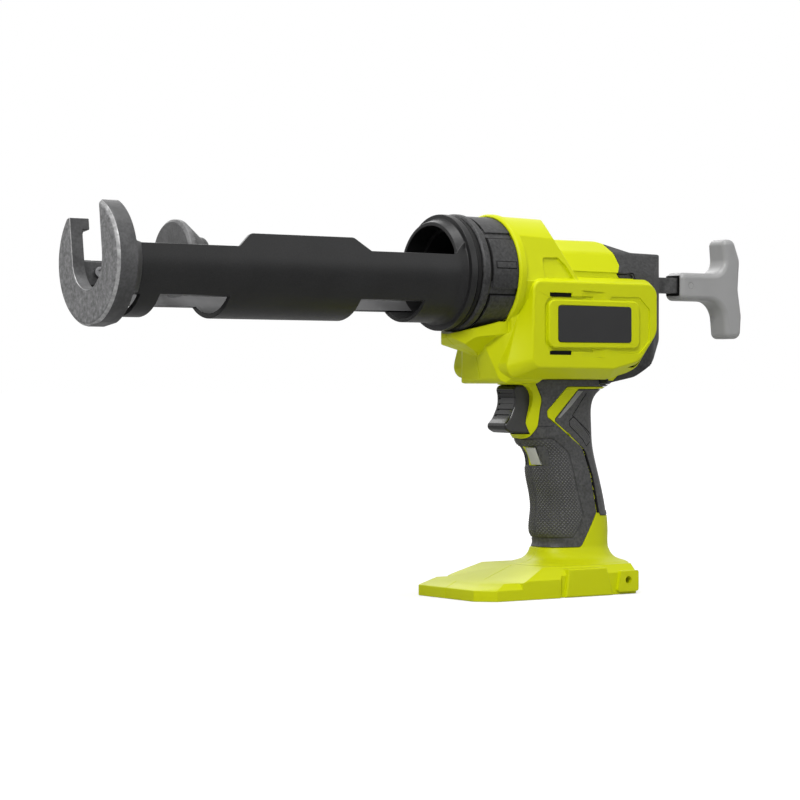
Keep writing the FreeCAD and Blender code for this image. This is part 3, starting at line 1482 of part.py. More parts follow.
def control_board():
    """Speed control board on top of the switch, with its power transistors."""
    rear = switch_front - switch_length
    board = block(rear, rear + board_length, -board_half_width, board_half_width, -switch_drop,
                  -switch_drop + board_thickness)
    for way in (-1, 1):
        x = rear + board_length / 2 + way * transistor_pitch
        top = -switch_drop + board_thickness + transistor_height
        board = board.fuse(block(x - transistor_width / 2, x + transistor_width / 2, -transistor_length / 2,
                                 transistor_length / 2, -switch_drop, top))
    return board


def lock_button():
    """Cross bolt that locks the trigger off, standing proud on the left."""
    rear = button_front - button_depth
    shoulder = button_half_length - button_bevel
    half = [(button_front, shoulder), (button_front - button_bevel / 2, button_half_length), (rear, button_half_length)]
    bolt = plan_prism(mirrored_points(half, False), button_corner, -button_drop - button_height / 2,
                      -button_drop + button_height / 2)
    return bolt.translated(V(0, button_stand, 0))


def terminal_block():
    """Insulating block across the grip at the top of the battery socket."""
    return handle_form(hollow_inset() + running_gap).common(
        block(-2 * body_length, body_length, -handle_width, handle_width, -socket_top, -socket_top + terminal_block_height))


def battery_terminals():
    """Contact blades that hang from the terminal block into the socket."""
    blades = []
    for i in range(terminal_count):
        x = handle_x + (i - (terminal_count - 1) / 2) * terminal_pitch
        blades.append(block(x - terminal_thickness / 2, x + terminal_thickness / 2, -terminal_width / 2, terminal_width / 2,
                            -socket_top - terminal_length, -socket_top))
    return Part.makeCompound(blades)


def badge_plate(way):
    """Bare plate in the boss of one side panel."""
    plate = badge_form(0.0)
    return plate if way > 0 else mirror_y(plate)


def all_pieces():
    """Every piece of the tool by name, in the tool frame."""
    left, right, cap = housing_and_cap()
    rear, front = rear_bush_span()
    pieces = {"left_housing": left, "right_housing": right, "rear_cap": cap}
    pieces.update(rubber_pieces())
    pieces.update({
        "left_badge_plate": badge_plate(1), "right_badge_plate": badge_plate(-1),
        "housing_screws": Part.makeCompound(case_screws(0.0)),
        "nose_spigot": nose_spigot(), "front_rod_bush": rod_bush(bay_front, 0), "rear_rod_bush": rod_bush(rear, front),
        "lock_collar": lock_collar(),
        "plunger_rod": plunger_rod(), "plunger_disc": plunger_disc(), "plunger_screw": plunger_screw(),
        "pull_handle": pull_handle(), "pull_handle_pin": pull_pin(),
        "left_gear_plate": gear_plate(left_plate_y), "right_gear_plate": gear_plate(right_plate_y),
        "plate_spacers": plate_spacers(), "gearbox_case": gearbox_case(),
        "trigger": trigger(), "switch_plunger": switch_plunger(), "switch_module": switch_module(),
        "control_board": control_board(), "lock_button": lock_button(), "terminal_block": terminal_block(),
        "battery_terminals": battery_terminals()})
    pieces.update(gear_pieces())
    pieces.update(shaft_pieces())
    pieces.update(motor_pieces())
    carriage = {"cradle_frame": cradle_frame(), "front_fork": front_fork(), "collar_seal": collar_seal(),
                "fork_screws": Part.makeCompound(fork_screws())}
    for name, shape in carriage.items():
        pieces[name] = shape.rotated(V(0, 0, 0), V(1, 0, 0), cradle_turn)
    return pieces


def main():
    os.makedirs("parts", exist_ok=True)
    for name, shape in all_pieces().items():
        placed = shape.translated(V(nose_offset, 0, axis_height))
        solids = placed.Solids
        placed = solids[0] if len(solids) == 1 else Part.makeCompound(solids)
        placed.exportStep("parts/" + name + ".step")
        print(name, len(solids), placed.isValid(), round(placed.Volume))


if __name__ == "__main__":
    main()
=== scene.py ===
import json
import math

import bmesh
import bpy
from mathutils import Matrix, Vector
from mathutils.bvhtree import BVHTree

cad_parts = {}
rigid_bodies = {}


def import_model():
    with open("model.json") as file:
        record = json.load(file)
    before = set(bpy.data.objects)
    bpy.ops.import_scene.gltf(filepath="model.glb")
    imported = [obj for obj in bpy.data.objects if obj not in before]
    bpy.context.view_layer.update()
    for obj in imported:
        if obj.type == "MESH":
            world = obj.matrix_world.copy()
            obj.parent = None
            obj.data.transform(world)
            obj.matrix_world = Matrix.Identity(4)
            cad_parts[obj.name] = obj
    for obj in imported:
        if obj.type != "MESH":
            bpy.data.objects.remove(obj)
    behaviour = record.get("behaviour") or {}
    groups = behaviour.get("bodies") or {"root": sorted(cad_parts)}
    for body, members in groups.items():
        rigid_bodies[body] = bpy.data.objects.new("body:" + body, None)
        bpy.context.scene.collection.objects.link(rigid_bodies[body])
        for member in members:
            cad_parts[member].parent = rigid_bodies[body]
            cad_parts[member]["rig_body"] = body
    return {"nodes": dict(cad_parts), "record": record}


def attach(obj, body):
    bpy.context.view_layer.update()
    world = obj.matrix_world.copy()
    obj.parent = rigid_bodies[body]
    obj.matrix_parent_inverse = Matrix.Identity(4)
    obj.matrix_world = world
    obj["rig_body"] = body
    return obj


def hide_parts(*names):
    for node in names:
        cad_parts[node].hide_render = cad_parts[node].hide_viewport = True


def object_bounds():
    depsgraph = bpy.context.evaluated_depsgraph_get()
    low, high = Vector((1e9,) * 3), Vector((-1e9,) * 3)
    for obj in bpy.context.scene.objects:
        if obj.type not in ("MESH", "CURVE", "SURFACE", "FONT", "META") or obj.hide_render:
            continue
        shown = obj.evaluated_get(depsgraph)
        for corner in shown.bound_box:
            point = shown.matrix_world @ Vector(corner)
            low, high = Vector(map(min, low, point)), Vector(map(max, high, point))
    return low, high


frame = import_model()
cad_low, cad_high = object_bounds()
nodes = frame["nodes"]
slot_of = {row["node"]: row["material_slot"] for row in frame["record"]["subparts"]}

# Places shared with the model, in metres: the barrel axis and the nose plane
AXIS_HEIGHT = 0.196
NOSE_X = 0.0285
MM = 0.001
SIDES = (("left", 1), ("right", -1))

# Photograph's camera, in metres, with its lens and sensor in millimetres
VIEW_TURN = math.radians(34.67)
VIEW_RISE = math.radians(0.24)
VIEW_DISTANCE = 1.462
VIEW_TARGET = Vector((0.0929, 0.0, 0.1196))
VIEW_LENS = 110.7
VIEW_END = 200.0
SENSOR = 36.0

# Studio lamps: place and size in metres, power in watts
LAMPS = {
    "key_lamp": {"place": (1.1, 1.0, 1.25), "size": 0.6, "power": 18.0},
    "top_lamp": {"place": (0.1, 0.2, 1.7), "size": 0.8, "power": 14.0},
    "side_lamp": {"place": (-0.9, 1.3, 0.7), "size": 0.8, "power": 2.0},
    "back_lamp": {"place": (-0.3, -1.3, 1.0), "size": 0.9, "power": 6.0},
}

# Floor and surround, in metres: the glow rises from its first level to its second over the glow's reach
FLOOR_HALF = 60.0
FLOOR_DROP = 0.0002
FLOOR_GREY = (0.5, 0.5, 0.5, 1.0)
FLOOR_ROUGH = 0.9
GLOW_REACH = (0.2, 1.0)
GLOW_LEVELS = (0.62, 1.0)
SURROUND_LEVELS = (0.18, 1.0)

# Shares and details that all finishes have in common
WHITE = (1.0, 1.0, 1.0)
WHOLE_RANGE = (0.0, 1.0)
NOISE_BAND = (0.3, 0.7)
CLOUD_DETAIL = 4.0
GRAIN_DETAIL = 2.0
ROUGH_SPREAD_SHARE = 0.12
# Share of the knurl's colour kept in the bottom of its grooves: painted shade
KNURL_GROOVE_SHADE = 0.12

# Rounding of moulded and cast edges, in metres and radians
MERGE_DISTANCE = 0.000002
FLAT_ANGLE = math.radians(0.6)
SHARP_ANGLE = math.radians(26)
SMOOTH_TURN = math.cos(math.radians(40))
ROUND_SEGMENTS = 2
PANEL_REAR_X = -0.03
PANEL_SIDE_Y = 0.025

# Width of each node's rounded edges, in millimetres
SOFT_EDGES = {
    "left_housing": 0.45, "right_housing": 0.45, "rear_cap": 0.6, "lock_collar": 0.35, "cradle_frame": 0.5,
    "front_fork": 0.6, "collar_seal": 0.3, "trigger": 0.0, "lock_button": 0.3, "left_grip": 0.3,
    "right_grip": 0.3, "left_backstrap": 0.3, "right_backstrap": 0.3, "left_badge_plate": 0.2,
    "right_badge_plate": 0.2, "plunger_disc": 0.3, "plunger_rod": 0.2, "pull_handle": 0.3, "fork_screws": 0.2,
}

# Faces with a second finish, by place in metres or by how squarely they face a way; on the cradle, the fork
# and the plunger disc this finish is painted light or painted shade
CRADLE_WINDOW_X = 0.0915
CRADLE_RAIL_DROP = -0.003
CRADLE_INWARD = -0.6
DISC_RIM_REAR = 0.243
REAR_FOOT_X = -0.0445
REAR_FOOT_Z = (0.129, 0.1325)
FORK_FACING = 0.8
FORK_RIM_FACING = 0.25
TRIGGER_FACING = 0.3
TRIGGER_SIDE_FACING = 0.8

# Bay that the trigger slides in, in millimetres of the model's own frame
BAY_HALF = 10.3
BAY_X = (-42.0, 12.0)
BAY_Z = (-102.0, -56.0)

# Grip and its rubber, in millimetres of the model's own frame
HANDLE_X = -63.5
HANDLE_TOP = 58.0
HANDLE_DEPTH = 51.0
HANDLE_LENGTH = 120.0
GRIP_AXIS_X = -52.0
GRIP_AXIS_Z = -98.0
GRIP_LEAN = 0.171
GROOVE_WIDTH = 0.9

# Search for the rubber's outside, by rays of this reach in metres
RAY_REACH = 0.06
FACING = 0.3
ROW_RAYS = 300
ROW_TURN = math.radians(178)

# Knurls, in millimetres: how far they keep from their zone's edge, stand out and reach under the rubber
KNURL_SHARES = [
    (1.4, -0.335), (0.68, -0.352), (0.52, -0.348), (0.443, -0.359), (0.245, -0.422), (0.182, -0.515),
    (0.12, -0.618), (0.027, -0.7475), (0.059, -0.788), (0.182, -0.869), (1.4, -0.869)]
KNURL_ZONE = [(HANDLE_X + u * HANDLE_DEPTH, -HANDLE_TOP + v * HANDLE_LENGTH) for u, v in KNURL_SHARES]
STRAP_PATCH = [
    (-55.6, -87.3), (-54.1, -87.3), (-51.1, -89.7), (-51.9, -92.7), (-62.4, -101.1), (-65.5, -105.2),
    (-70.1, -102.1), (-70.1, -99.3)]
KNURL_MARGIN = 0.2
GRIP_KNURL = {"margin": GROOVE_WIDTH + KNURL_MARGIN, "pitch": 2.3, "rise": 0.6, "under": 0.2}
STRAP_KNURL = {"margin": KNURL_MARGIN, "pitch": 1.4, "rise": 0.4, "under": 0.4}
KNURL_SINK = 0.05
STEPS_PER_KNURL = 6
KEEP_OFF = 1.0
KEEP_OFF_ANGLE = 0.045
EDGE_SHIFTS = ((KEEP_OFF, 0.0), (-KEEP_OFF, 0.0), (0.0, KEEP_OFF_ANGLE), (0.0, -KEEP_OFF_ANGLE))

# Strips laid on the grip and the cap, in millimetres: routes, widths and reach above and under the surface.
# The black lines and the gap strip are painted shade in grooves and gaps, the grey stripe is a painted
# highlight, and the tail is the housing's own yellow
STRIP_STEPS = 8
STRIP_COLUMNS = 14
# Painted highlight: route of a pale grey stripe along the backstrap's bevelled front edge, standing in for
# light caught on the bevel
STRAP_STRIPE = (
    [(-57.3, -71.1), (-49.7, -79.7), (-42.3, -87.6)],
    [(-61.8, -71.1), (-53.3, -79.7), (-44.0, -87.7)])
STRIPE_LAY = {"rise": 0.12, "under": 0.4}
# Painted shade: black lines along the edge of the strap's raised panel and round its knurled patch, where the
# shade in their grooves falls
PANEL_LINE = [(-65.7, -72.6), (-59.7, -79.4), (-53.7, -86.2), (-63.3, -92.6), (-71.0, -97.7)]
PANEL_LINE_WIDTH = 0.6
PATCH_LINE = STRAP_PATCH + STRAP_PATCH[:1]
PATCH_LINE_WIDTH = 0.5
STRAP_LINE_LAY = {"rise": 0.06, "under": 0.3}
TAIL_LINE = [(-49.6, -96.5), (-55.2, -101.2), (-61.0, -106.2)]
TAIL_WIDTH = 1.1
TAIL_LAY = {"rise": 1.5, "under": 0.2}
# Painted shade: black strip in the gap between the rubber and the housing
GAP_LINE = [
    (-62.7, -106.6), (-64.7, -110.7), (-66.9, -116.9), (-69.1, -125.0), (-70.9, -132.5), (-73.0, -141.9),
    (-73.9, -146.4)]
GAP_WIDTH = 2.4
GAP_LAY = {"rise": 0.4, "under": 0.2}
# Painted shade: black line round the recess in the rear cap
CAP_LINE = [(-80.4, 1.0), (-82.6, 1.1), (-92.6, 2.0), (-93.8, -1.5), (-94.0, -5.2)]
CAP_LINE_WIDTH = 0.9
CAP_LINE_LAY = {"rise": 0.06, "under": 0.4}

# Vents of the side panel, in millimetres
PANEL_FACE = 37.4
VENT_DEPTHS = (5.0, 1.0)
VENT_X = -28.0
VENT_HALF = 8.7
VENT_HEIGHTS = {"low": -48.1, "high": -12.9}
VENT_HALF_HEIGHT = 1.3

# Pads and index bar of the lock collar, in millimetres and degrees; black strips along the pads' front and
# end edges and under the index bar are painted shade
COLLAR_BODY_RADIUS = 33.4
COLLAR_PAD_RADIUS = 34.5
PADS = 6
PAD_PITCH = 360.0 / PADS
PAD_REAR = 1.7
PAD_FRONT = 20.4
PAD_ANGLE = 52.0
PAD_START = -17.0
PAD_LINE_WIDTH = 1.1
PAD_LINE_FRONT = PAD_FRONT + PAD_LINE_WIDTH
PAD_LINE_LAP = 0.2
PAD_LINE_SINK = 0.4
PAD_LINE_RISE = 0.15
PAD_LINE_RADII = (COLLAR_BODY_RADIUS - PAD_LINE_SINK, COLLAR_BODY_RADIUS + PAD_LINE_RISE)
PAD_LINE_LEAD = 7.0
PAD_END_LAP = 0.3
PAD_END_ANGLE = 1.8
INDEX_SINK = 0.5
INDEX_BAR = {"x_range": (3.9, 18.0), "rise": 0.45, "turns": (3.9, 9.6)}
INDEX_SHADE = {"x_range": (3.2, 18.2), "rise": 0.1, "turns": (2.9, 10.4)}

# Lock button's window in the front of the grip, in millimetres
WINDOW_TOP = -104.4
WINDOW_LOW = -118.0
BUTTON_CAP = {"y_range": (0.8, 8.2), "z_range": (-105.9, -116.4), "drop": 0.12, "thick": 0.15}
WINDOW_SURROUND = {"y_range": (9.0, 12.8), "z_range": (-104.9, -117.5), "drop": 0.05, "thick": 0.6}

# Black box of painted shadow in the mouth of the pull handle's stem, in millimetres
STEM_SHADOW_LOW = (-149.4, -6.4, -10.0)
STEM_SHADOW_HIGH = (-148.7, 6.4, 3.0)
STEM_SHADOW_ROUND = 0.3

# Finishes


def mapped(tree, value, taken, given):
    """Value carried from one range of numbers onto another."""
    band = tree.nodes.new("ShaderNodeMapRange")
    band.inputs["From Min"].default_value, band.inputs["From Max"].default_value = taken
    band.inputs["To Min"].default_value, band.inputs["To Max"].default_value = given
    tree.links.new(value, band.inputs["Value"])
    return band.outputs["Result"]


def combined(tree, operation, first, second):
    """Two values put together by one operation."""
    node = tree.nodes.new("ShaderNodeMath")
    node.operation = operation
    tree.links.new(first, node.inputs[0])
    tree.links.new(second, node.inputs[1])
    return node.outputs["Value"]


def multiplied(tree, first, second):
    """Product of two colours."""
    product = tree.nodes.new("ShaderNodeMixRGB")
    product.blend_type = "MULTIPLY"
    product.inputs["Fac"].default_value = 1.0
    tree.links.new(first, product.inputs["Color1"])
    tree.links.new(second, product.inputs["Color2"])
    return product.outputs["Color"]


def noise(tree, scale, detail):
    """Noise texture on the object's own coordinates."""
    place = tree.nodes.new("ShaderNodeTexCoord")
    texture = tree.nodes.new("ShaderNodeTexNoise")
    texture.inputs["Scale"].default_value = scale
    texture.inputs["Detail"].default_value = detail
    tree.links.new(place.outputs["Object"], texture.inputs["Vector"])
    return texture.outputs["Fac"]


def tinted(tree, value, dark, light):
    """Noise from its middle band onto two colours."""
    ramp = tree.nodes.new("ShaderNodeValToRGB")
    for stop, position, colour in zip(ramp.color_ramp.elements, NOISE_BAND, (dark, light)):
        stop.position = position
        stop.color = (*colour, 1.0)
    tree.links.new(value, ramp.inputs["Fac"])
    return ramp.outputs["Color"]


def shade(colour, amount):
    """Colour made darker or lighter by a share."""
    return tuple(min(1.0, channel * (1.0 + amount)) for channel in colour)


def new_material(name):
    """Material with its tree of nodes and its shader."""
    material = bpy.data.materials.new(name)
    material.use_nodes = True
    return material, material.node_tree, material.node_tree.nodes["Principled BSDF"]


def finish(name, colour, rough, cloud=40.0, mottle=0.05, grain=1500.0, grain_height=0.00001, metal=0.0,
           shine=0.5, speckle=0.0):
    """Surface with clouded and speckled colour, uneven roughness and a fine moulded or cast grain."""
    material, tree, shader = new_material(name)
    shader.inputs["Metallic"].default_value = metal
    shader.inputs["Specular IOR Level"].default_value = shine
    fine = noise(tree, grain, GRAIN_DETAIL)
    cloudy = tinted(tree, noise(tree, cloud, CLOUD_DETAIL), shade(colour, -mottle), shade(colour, mottle))
    flecks = tinted(tree, fine, shade(WHITE, -speckle), WHITE)
    tree.links.new(multiplied(tree, cloudy, flecks), shader.inputs["Base Color"])
    uneven = (rough * (1.0 - ROUGH_SPREAD_SHARE), min(1.0, rough * (1.0 + ROUGH_SPREAD_SHARE)))
    tree.links.new(mapped(tree, fine, NOISE_BAND, uneven), shader.inputs["Roughness"])
    bump = tree.nodes.new("ShaderNodeBump")
    bump.inputs["Strength"].default_value = 1.0
    bump.inputs["Distance"].default_value = grain_height
    tree.links.new(fine, bump.inputs["Height"])
    tree.links.new(bump.outputs["Normal"], shader.inputs["Normal"])
    return material


def paint_groove_shade(material, low):
    """Paint shade into a finish towards the low points of a sheet, by the height stored on it: painted shade
    in the grooves.
    """
    tree = material.node_tree
    base = tree.nodes["Principled BSDF"].inputs["Base Color"]
    height = tree.nodes.new("ShaderNodeAttribute")
    height.attribute_name = "crest"
    tone = mapped(tree, height.outputs["Fac"], WHOLE_RANGE, (low, 1.0))
    tree.links.new(multiplied(tree, base.links[0].from_socket, tone), base)


FINISHES = {
    "housing_plastic": finish(
        "yellow_green_moulding", (0.66, 0.715, 0.002), rough=0.42, cloud=14.0, mottle=0.02, grain=2200.0,
        grain_height=0.000006, shine=0.2),
    "cover_plastic": finish(
        "dark_textured_moulding", (0.05, 0.05, 0.051), rough=0.46, cloud=60.0, mottle=0.15, grain=560.0,
        grain_height=0.0001, shine=0.35, speckle=0.65),
    "grip_rubber": finish(
        "grip_overmould", (0.085, 0.085, 0.086), rough=0.5, cloud=80.0, mottle=0.12, grain=620.0,
        grain_height=0.00012, shine=0.4, speckle=0.55),
    "seal_rubber": finish("seal_rubber", (0.006, 0.006, 0.006), rough=0.6, shine=0.2),
    "badge_plastic": finish(
        "bare_badge", (0.024, 0.024, 0.025), rough=0.4, cloud=30.0, mottle=0.06, grain=2500.0,
        grain_height=0.000006, shine=0.25),
    "cradle_plastic": finish(
        "dark_filled_moulding", (0.017, 0.017, 0.0175), rough=0.4, cloud=30.0, mottle=0.2, grain=1200.0,
        grain_height=0.00002, shine=0.3, speckle=0.3),
    "fork_casting": finish(
        "grey_fork_casting", (0.075, 0.075, 0.077), rough=0.45, cloud=120.0, mottle=0.3, grain=700.0,
        grain_height=0.00005, metal=0.2, speckle=0.35),
    "disc_casting": finish(
        "grey_disc_casting", (0.17, 0.17, 0.172), rough=0.5, cloud=200.0, mottle=0.2, grain=700.0,
        grain_height=0.00005, metal=0.2, speckle=0.35),
    "rod_steel": finish(
        "dark_oiled_steel", (0.09, 0.09, 0.09), rough=0.42, cloud=110.0, mottle=0.4, grain=900.0,
        grain_height=0.00003, metal=0.7, speckle=0.4),
    "screw_steel": finish("plated_screw", (0.3, 0.3, 0.31), rough=0.35, cloud=100.0, mottle=0.1, metal=1.0),
    "gear_steel": finish(
        "machined_steel", (0.48, 0.48, 0.49), rough=0.32, cloud=100.0, mottle=0.08, metal=1.0),
    "bush_brass": finish("plain_bronze", (0.56, 0.4, 0.16), rough=0.35, cloud=100.0, mottle=0.1, metal=1.0),
    "gearbox_casting": finish(
        "die_casting", (0.5, 0.5, 0.5), rough=0.5, cloud=100.0, mottle=0.1, grain=900.0, grain_height=0.00003,
        metal=1.0),
    "motor_steel": finish("plated_can", (0.4, 0.4, 0.41), rough=0.38, cloud=60.0, mottle=0.06, metal=1.0),
    "inner_plastic": finish("black_moulding", (0.012, 0.012, 0.012), rough=0.5, shine=0.3),
    "board_laminate": finish("green_laminate", (0.01, 0.11, 0.04), rough=0.4),
    "trigger_plastic": finish(
        "trigger_side", (0.05, 0.05, 0.051), rough=0.55, cloud=60.0, mottle=0.1, grain=1100.0,
        grain_height=0.00003, shine=0.35, speckle=0.2),
    "button_plastic": finish("light_grey_button", (0.5, 0.5, 0.48), rough=0.4),
    "handle_plastic": finish("pale_grey_moulding", (0.36, 0.36, 0.36), rough=0.36, mottle=0.04, grain=1800.0),
}
# Painted light: the fork's forward faces are a lighter grey than its sides, standing in for the light that
# falls on them; the sandy mottle is the casting's own
FORK_FACE_PAINTED_LIGHT = finish(
    "sandy_fork_face_painted_light", (0.27, 0.27, 0.274), rough=0.5, cloud=420.0, mottle=0.4, grain=700.0,
    grain_height=0.00006, metal=0.2, speckle=0.4)
# Painted highlight: a pale grey on the fork's rounded front edge, standing in for light caught on the edge
FORK_RIM_HIGHLIGHT = finish(
    "painted_highlight_fork_rim", (0.42, 0.42, 0.422), rough=0.42, cloud=300.0, mottle=0.3, grain=700.0,
    grain_height=0.00005, metal=0.2, speckle=0.3)
# Knurl sheet: a lighter grey than the plain rubber, partly a painted highlight on its crests, with painted
# shade in its grooves
KNURL_PAINTED_LIGHT_AND_SHADE = finish(
    "knurled_overmould_painted_light_and_shade", (0.14, 0.14, 0.141), rough=0.48, cloud=80.0, mottle=0.15, grain=900.0,
    grain_height=0.00003, shine=0.45)
# Painted shade: near black on the plunger disc's conical back, which faces away from the light; the front
# keeps the casting's grey
DISC_BACK_PAINTED_SHADE = finish(
    "painted_shade_disc_back", (0.012, 0.012, 0.012), rough=0.5, cloud=120.0, mottle=0.2, grain=900.0,
    grain_height=0.00003)
TRIGGER_FACE = finish(
    "glossy_trigger_face", (0.012, 0.012, 0.012), rough=0.2, cloud=60.0, mottle=0.1, grain=1800.0,
    grain_height=0.000004)
# Painted highlight: pale grey for the stripe on the backstrap's bevelled edge
STRIPE_HIGHLIGHT = finish("strap_painted_highlight", (0.26, 0.26, 0.262), rough=0.5, cloud=60.0, mottle=0.1)
# Painted light: a paler grey on the cradle's inner faces below the rails, standing in for the light that
# falls into the cradle
CRADLE_INSIDE_PAINTED_LIGHT = finish(
    "painted_light_cradle_inside", (0.14, 0.14, 0.142), rough=0.35, cloud=60.0, mottle=0.15, grain=1200.0,
    grain_height=0.00002)
# Painted shade: near black laid in grooves, gaps, vents and hollows where shade falls
PAINTED_SHADE_BLACK = finish("deep_shadow_black", (0.004, 0.004, 0.004), rough=0.7, shine=0.1)
# Painted shade in the knurls' grooves
paint_groove_shade(KNURL_PAINTED_LIGHT_AND_SHADE, KNURL_GROOVE_SHADE)

# Making pieces


def placed(x, y, z):
    """Place in the shared frame from millimetres in the model's own frame."""
    return Vector((NOSE_X + x * MM, y * MM, AXIS_HEIGHT + z * MM))


def side_place(point):
    """Place of a point as seen from the side, in millimetres of the model's own frame."""
    return (point.x - NOSE_X) / MM, (point.z - AXIS_HEIGHT) / MM


def dress(piece, material):
    """Give a piece one finish."""
    piece.data.materials.clear()
    piece.data.materials.append(material)


def second_finish(piece, material, chosen):
    """Give the faces that the test chooses a finish of their own."""
    piece.data.materials.append(material)
    for face in piece.data.polygons:
        if chosen(face):
            face.material_index = len(piece.data.materials) - 1


def add_object(name, data):
    """New object in the scene."""
    piece = bpy.data.objects.new(name, data)
    bpy.context.scene.collection.objects.link(piece)
    return piece


def mesh_of(name, bm):
    """Mesh from a finished form, which is freed."""
    mesh = bpy.data.meshes.new(name)
    bm.to_mesh(mesh)
    bm.free()
    return mesh


def even_shading(mesh):
    """Weigh each corner's normal by the faces round it, so that flats stay flat beside rounded edges."""
    round_vertex = [[] for _ in mesh.vertices]
    turns = [face.normal.copy() for face in mesh.polygons]
    sizes = [face.area for face in mesh.polygons]
    for face in mesh.polygons:
        for vertex in face.vertices:
            round_vertex[vertex].append(face.index)
    corners = []
    for face in mesh.polygons:
        own = turns[face.index]
        for vertex in face.vertices:
            total = own * sizes[face.index]
            for other in round_vertex[vertex]:
                if other != face.index and turns[other].dot(own) > SMOOTH_TURN:
                    total = total + turns[other] * sizes[other]
            corners.append(total.normalized() if total.length > 0.0 else own)
    for face in mesh.polygons:
        face.use_smooth = True
    mesh.normals_split_custom_set(corners)


def make_piece(name, bm, body, material):
    """Object from a finished form, riding one body."""
    mesh = mesh_of(name, bm)
    even_shading(mesh)
    piece = add_object(name, mesh)
    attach(piece, body)
    dress(piece, material)
    return piece


# CAD nodes, as softened copies where they show


def surface_of(node):
    """Search tree over a node's own faces."""
    mesh = nodes[node].data
    corners = [vertex.co.copy() for vertex in mesh.vertices]
    return BVHTree.FromPolygons(corners, [tuple(face.vertices) for face in mesh.polygons])


def sharp_edges(bm):
    """Edges where two faces meet at a clear angle."""
    return [edge for edge in bm.edges if len(edge.link_faces) == 2 and edge.calc_face_angle() > SHARP_ANGLE]


def panel_corner_chip(edge, width):
    """Whether an edge is a chip shorter than the rounding at the rear of the side panel."""
    middle = (edge.verts[0].co + edge.verts[1].co) / 2
    return edge.calc_length() < width and middle.x < PANEL_REAR_X and abs(middle.y) > PANEL_SIDE_Y


def in_trigger_bay(edge):
    """Whether an edge belongs to the narrow bay that the trigger slides in, which stays sharp."""
    for vertex in edge.verts:
        x, z = side_place(vertex.co)
        if abs(vertex.co.y) > BAY_HALF * MM or not BAY_X[0] < x < BAY_X[1] or not BAY_Z[0] < z < BAY_Z[1]:
            return False
    return True


def round_edges(bm, edges, width, tree):
    """Round edges over, and put points that the rounding has thrown off the part back onto it."""
    bmesh.ops.bevel(bm, geom=edges, offset=width, offset_type="OFFSET", segments=ROUND_SEGMENTS, profile=0.5,
                    affect="EDGES", clamp_overlap=False, material=-1)
    for vertex in bm.verts:
        near, _, _, distance = tree.find_nearest(vertex.co)
        if distance > width:
            vertex.co = near
        vertex.co = [min(max(vertex.co[k], cad_low[k]), cad_high[k]) for k in range(3)]


def softened(node, width):
    """Cleaned copy that stands for a node, with its sharp edges rounded where a width is given."""
    source = nodes[node]
    bm = bmesh.new()
    bm.from_mesh(source.data)
    bmesh.ops.remove_doubles(bm, verts=bm.verts, dist=MERGE_DISTANCE)
    if width:
        tree = surface_of(node)
        bmesh.ops.dissolve_limit(bm, angle_limit=FLAT_ANGLE, verts=bm.verts, edges=bm.edges)
        chosen = [edge for edge in sharp_edges(bm)
                  if not in_trigger_bay(edge) and not panel_corner_chip(edge, width)]
        round_edges(bm, chosen, width, tree)
    piece = make_piece(node + "_shown", bm, source["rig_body"], FINISHES[slot_of[node]])
    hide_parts(node)
    return piece


def fork_front(face):
    """Whether a face of the fork looks forward, where its lighter grey is painted light."""
    return face.normal.x > FORK_FACING


def fork_rim(face):
    """Whether a face of the fork is on its rounded front edge, which carries a painted highlight."""
    return FORK_RIM_FACING < face.normal.x < FORK_FACING


def below_cap(face):
    """Whether a face of the housing closes the gap under the rear cap."""
    return face.center.x < REAR_FOOT_X and REAR_FOOT_Z[0] < face.center.z < REAR_FOOT_Z[1]


def faces_axis(face):
    """Whether a face of the cradle looks in towards the barrel axis below the rails, where a paler grey is
    painted light.
    """
    away = Vector((0.0, face.center.y, face.center.z - AXIS_HEIGHT))
    inward = face.normal.dot(away.normalized()) < CRADLE_INWARD
    return inward and away.z < CRADLE_RAIL_DROP and face.center.x > CRADLE_WINDOW_X


def disc_rear(face):
    """Whether a face of the plunger disc is behind its rim, where near black is painted shade."""
    return face.center.x < DISC_RIM_REAR


def trigger_front(face):
    """Whether a face of the trigger is where the finger lies."""
    return face.normal.x > TRIGGER_FACING and abs(face.normal.y) < TRIGGER_SIDE_FACING


for name, source in nodes.items():
    dress(source, FINISHES[slot_of[name]])
dress(nodes["pull_handle_pin"], FINISHES["handle_plastic"])
shown = {name: softened(name, width * MM) for name, width in SOFT_EDGES.items()}
# Painted light on the fork's forward faces
second_finish(shown["front_fork"], FORK_FACE_PAINTED_LIGHT, fork_front)
# Painted highlight on the fork's rounded front edge
second_finish(shown["front_fork"], FORK_RIM_HIGHLIGHT, fork_rim)
second_finish(shown["left_housing"], FINISHES["cover_plastic"], below_cap)
second_finish(shown["right_housing"], FINISHES["cover_plastic"], below_cap)
# Painted light on the cradle's inner faces below the rails
second_finish(shown["cradle_frame"], CRADLE_INSIDE_PAINTED_LIGHT, faces_axis)
# Painted shade on the plunger disc's back
second_finish(shown["plunger_disc"], DISC_BACK_PAINTED_SHADE, disc_rear)
second_finish(shown["trigger"], TRIGGER_FACE, trigger_front)

# Knurls and strips laid on the grip and the rear cap, with painted shade and a painted highlight among them


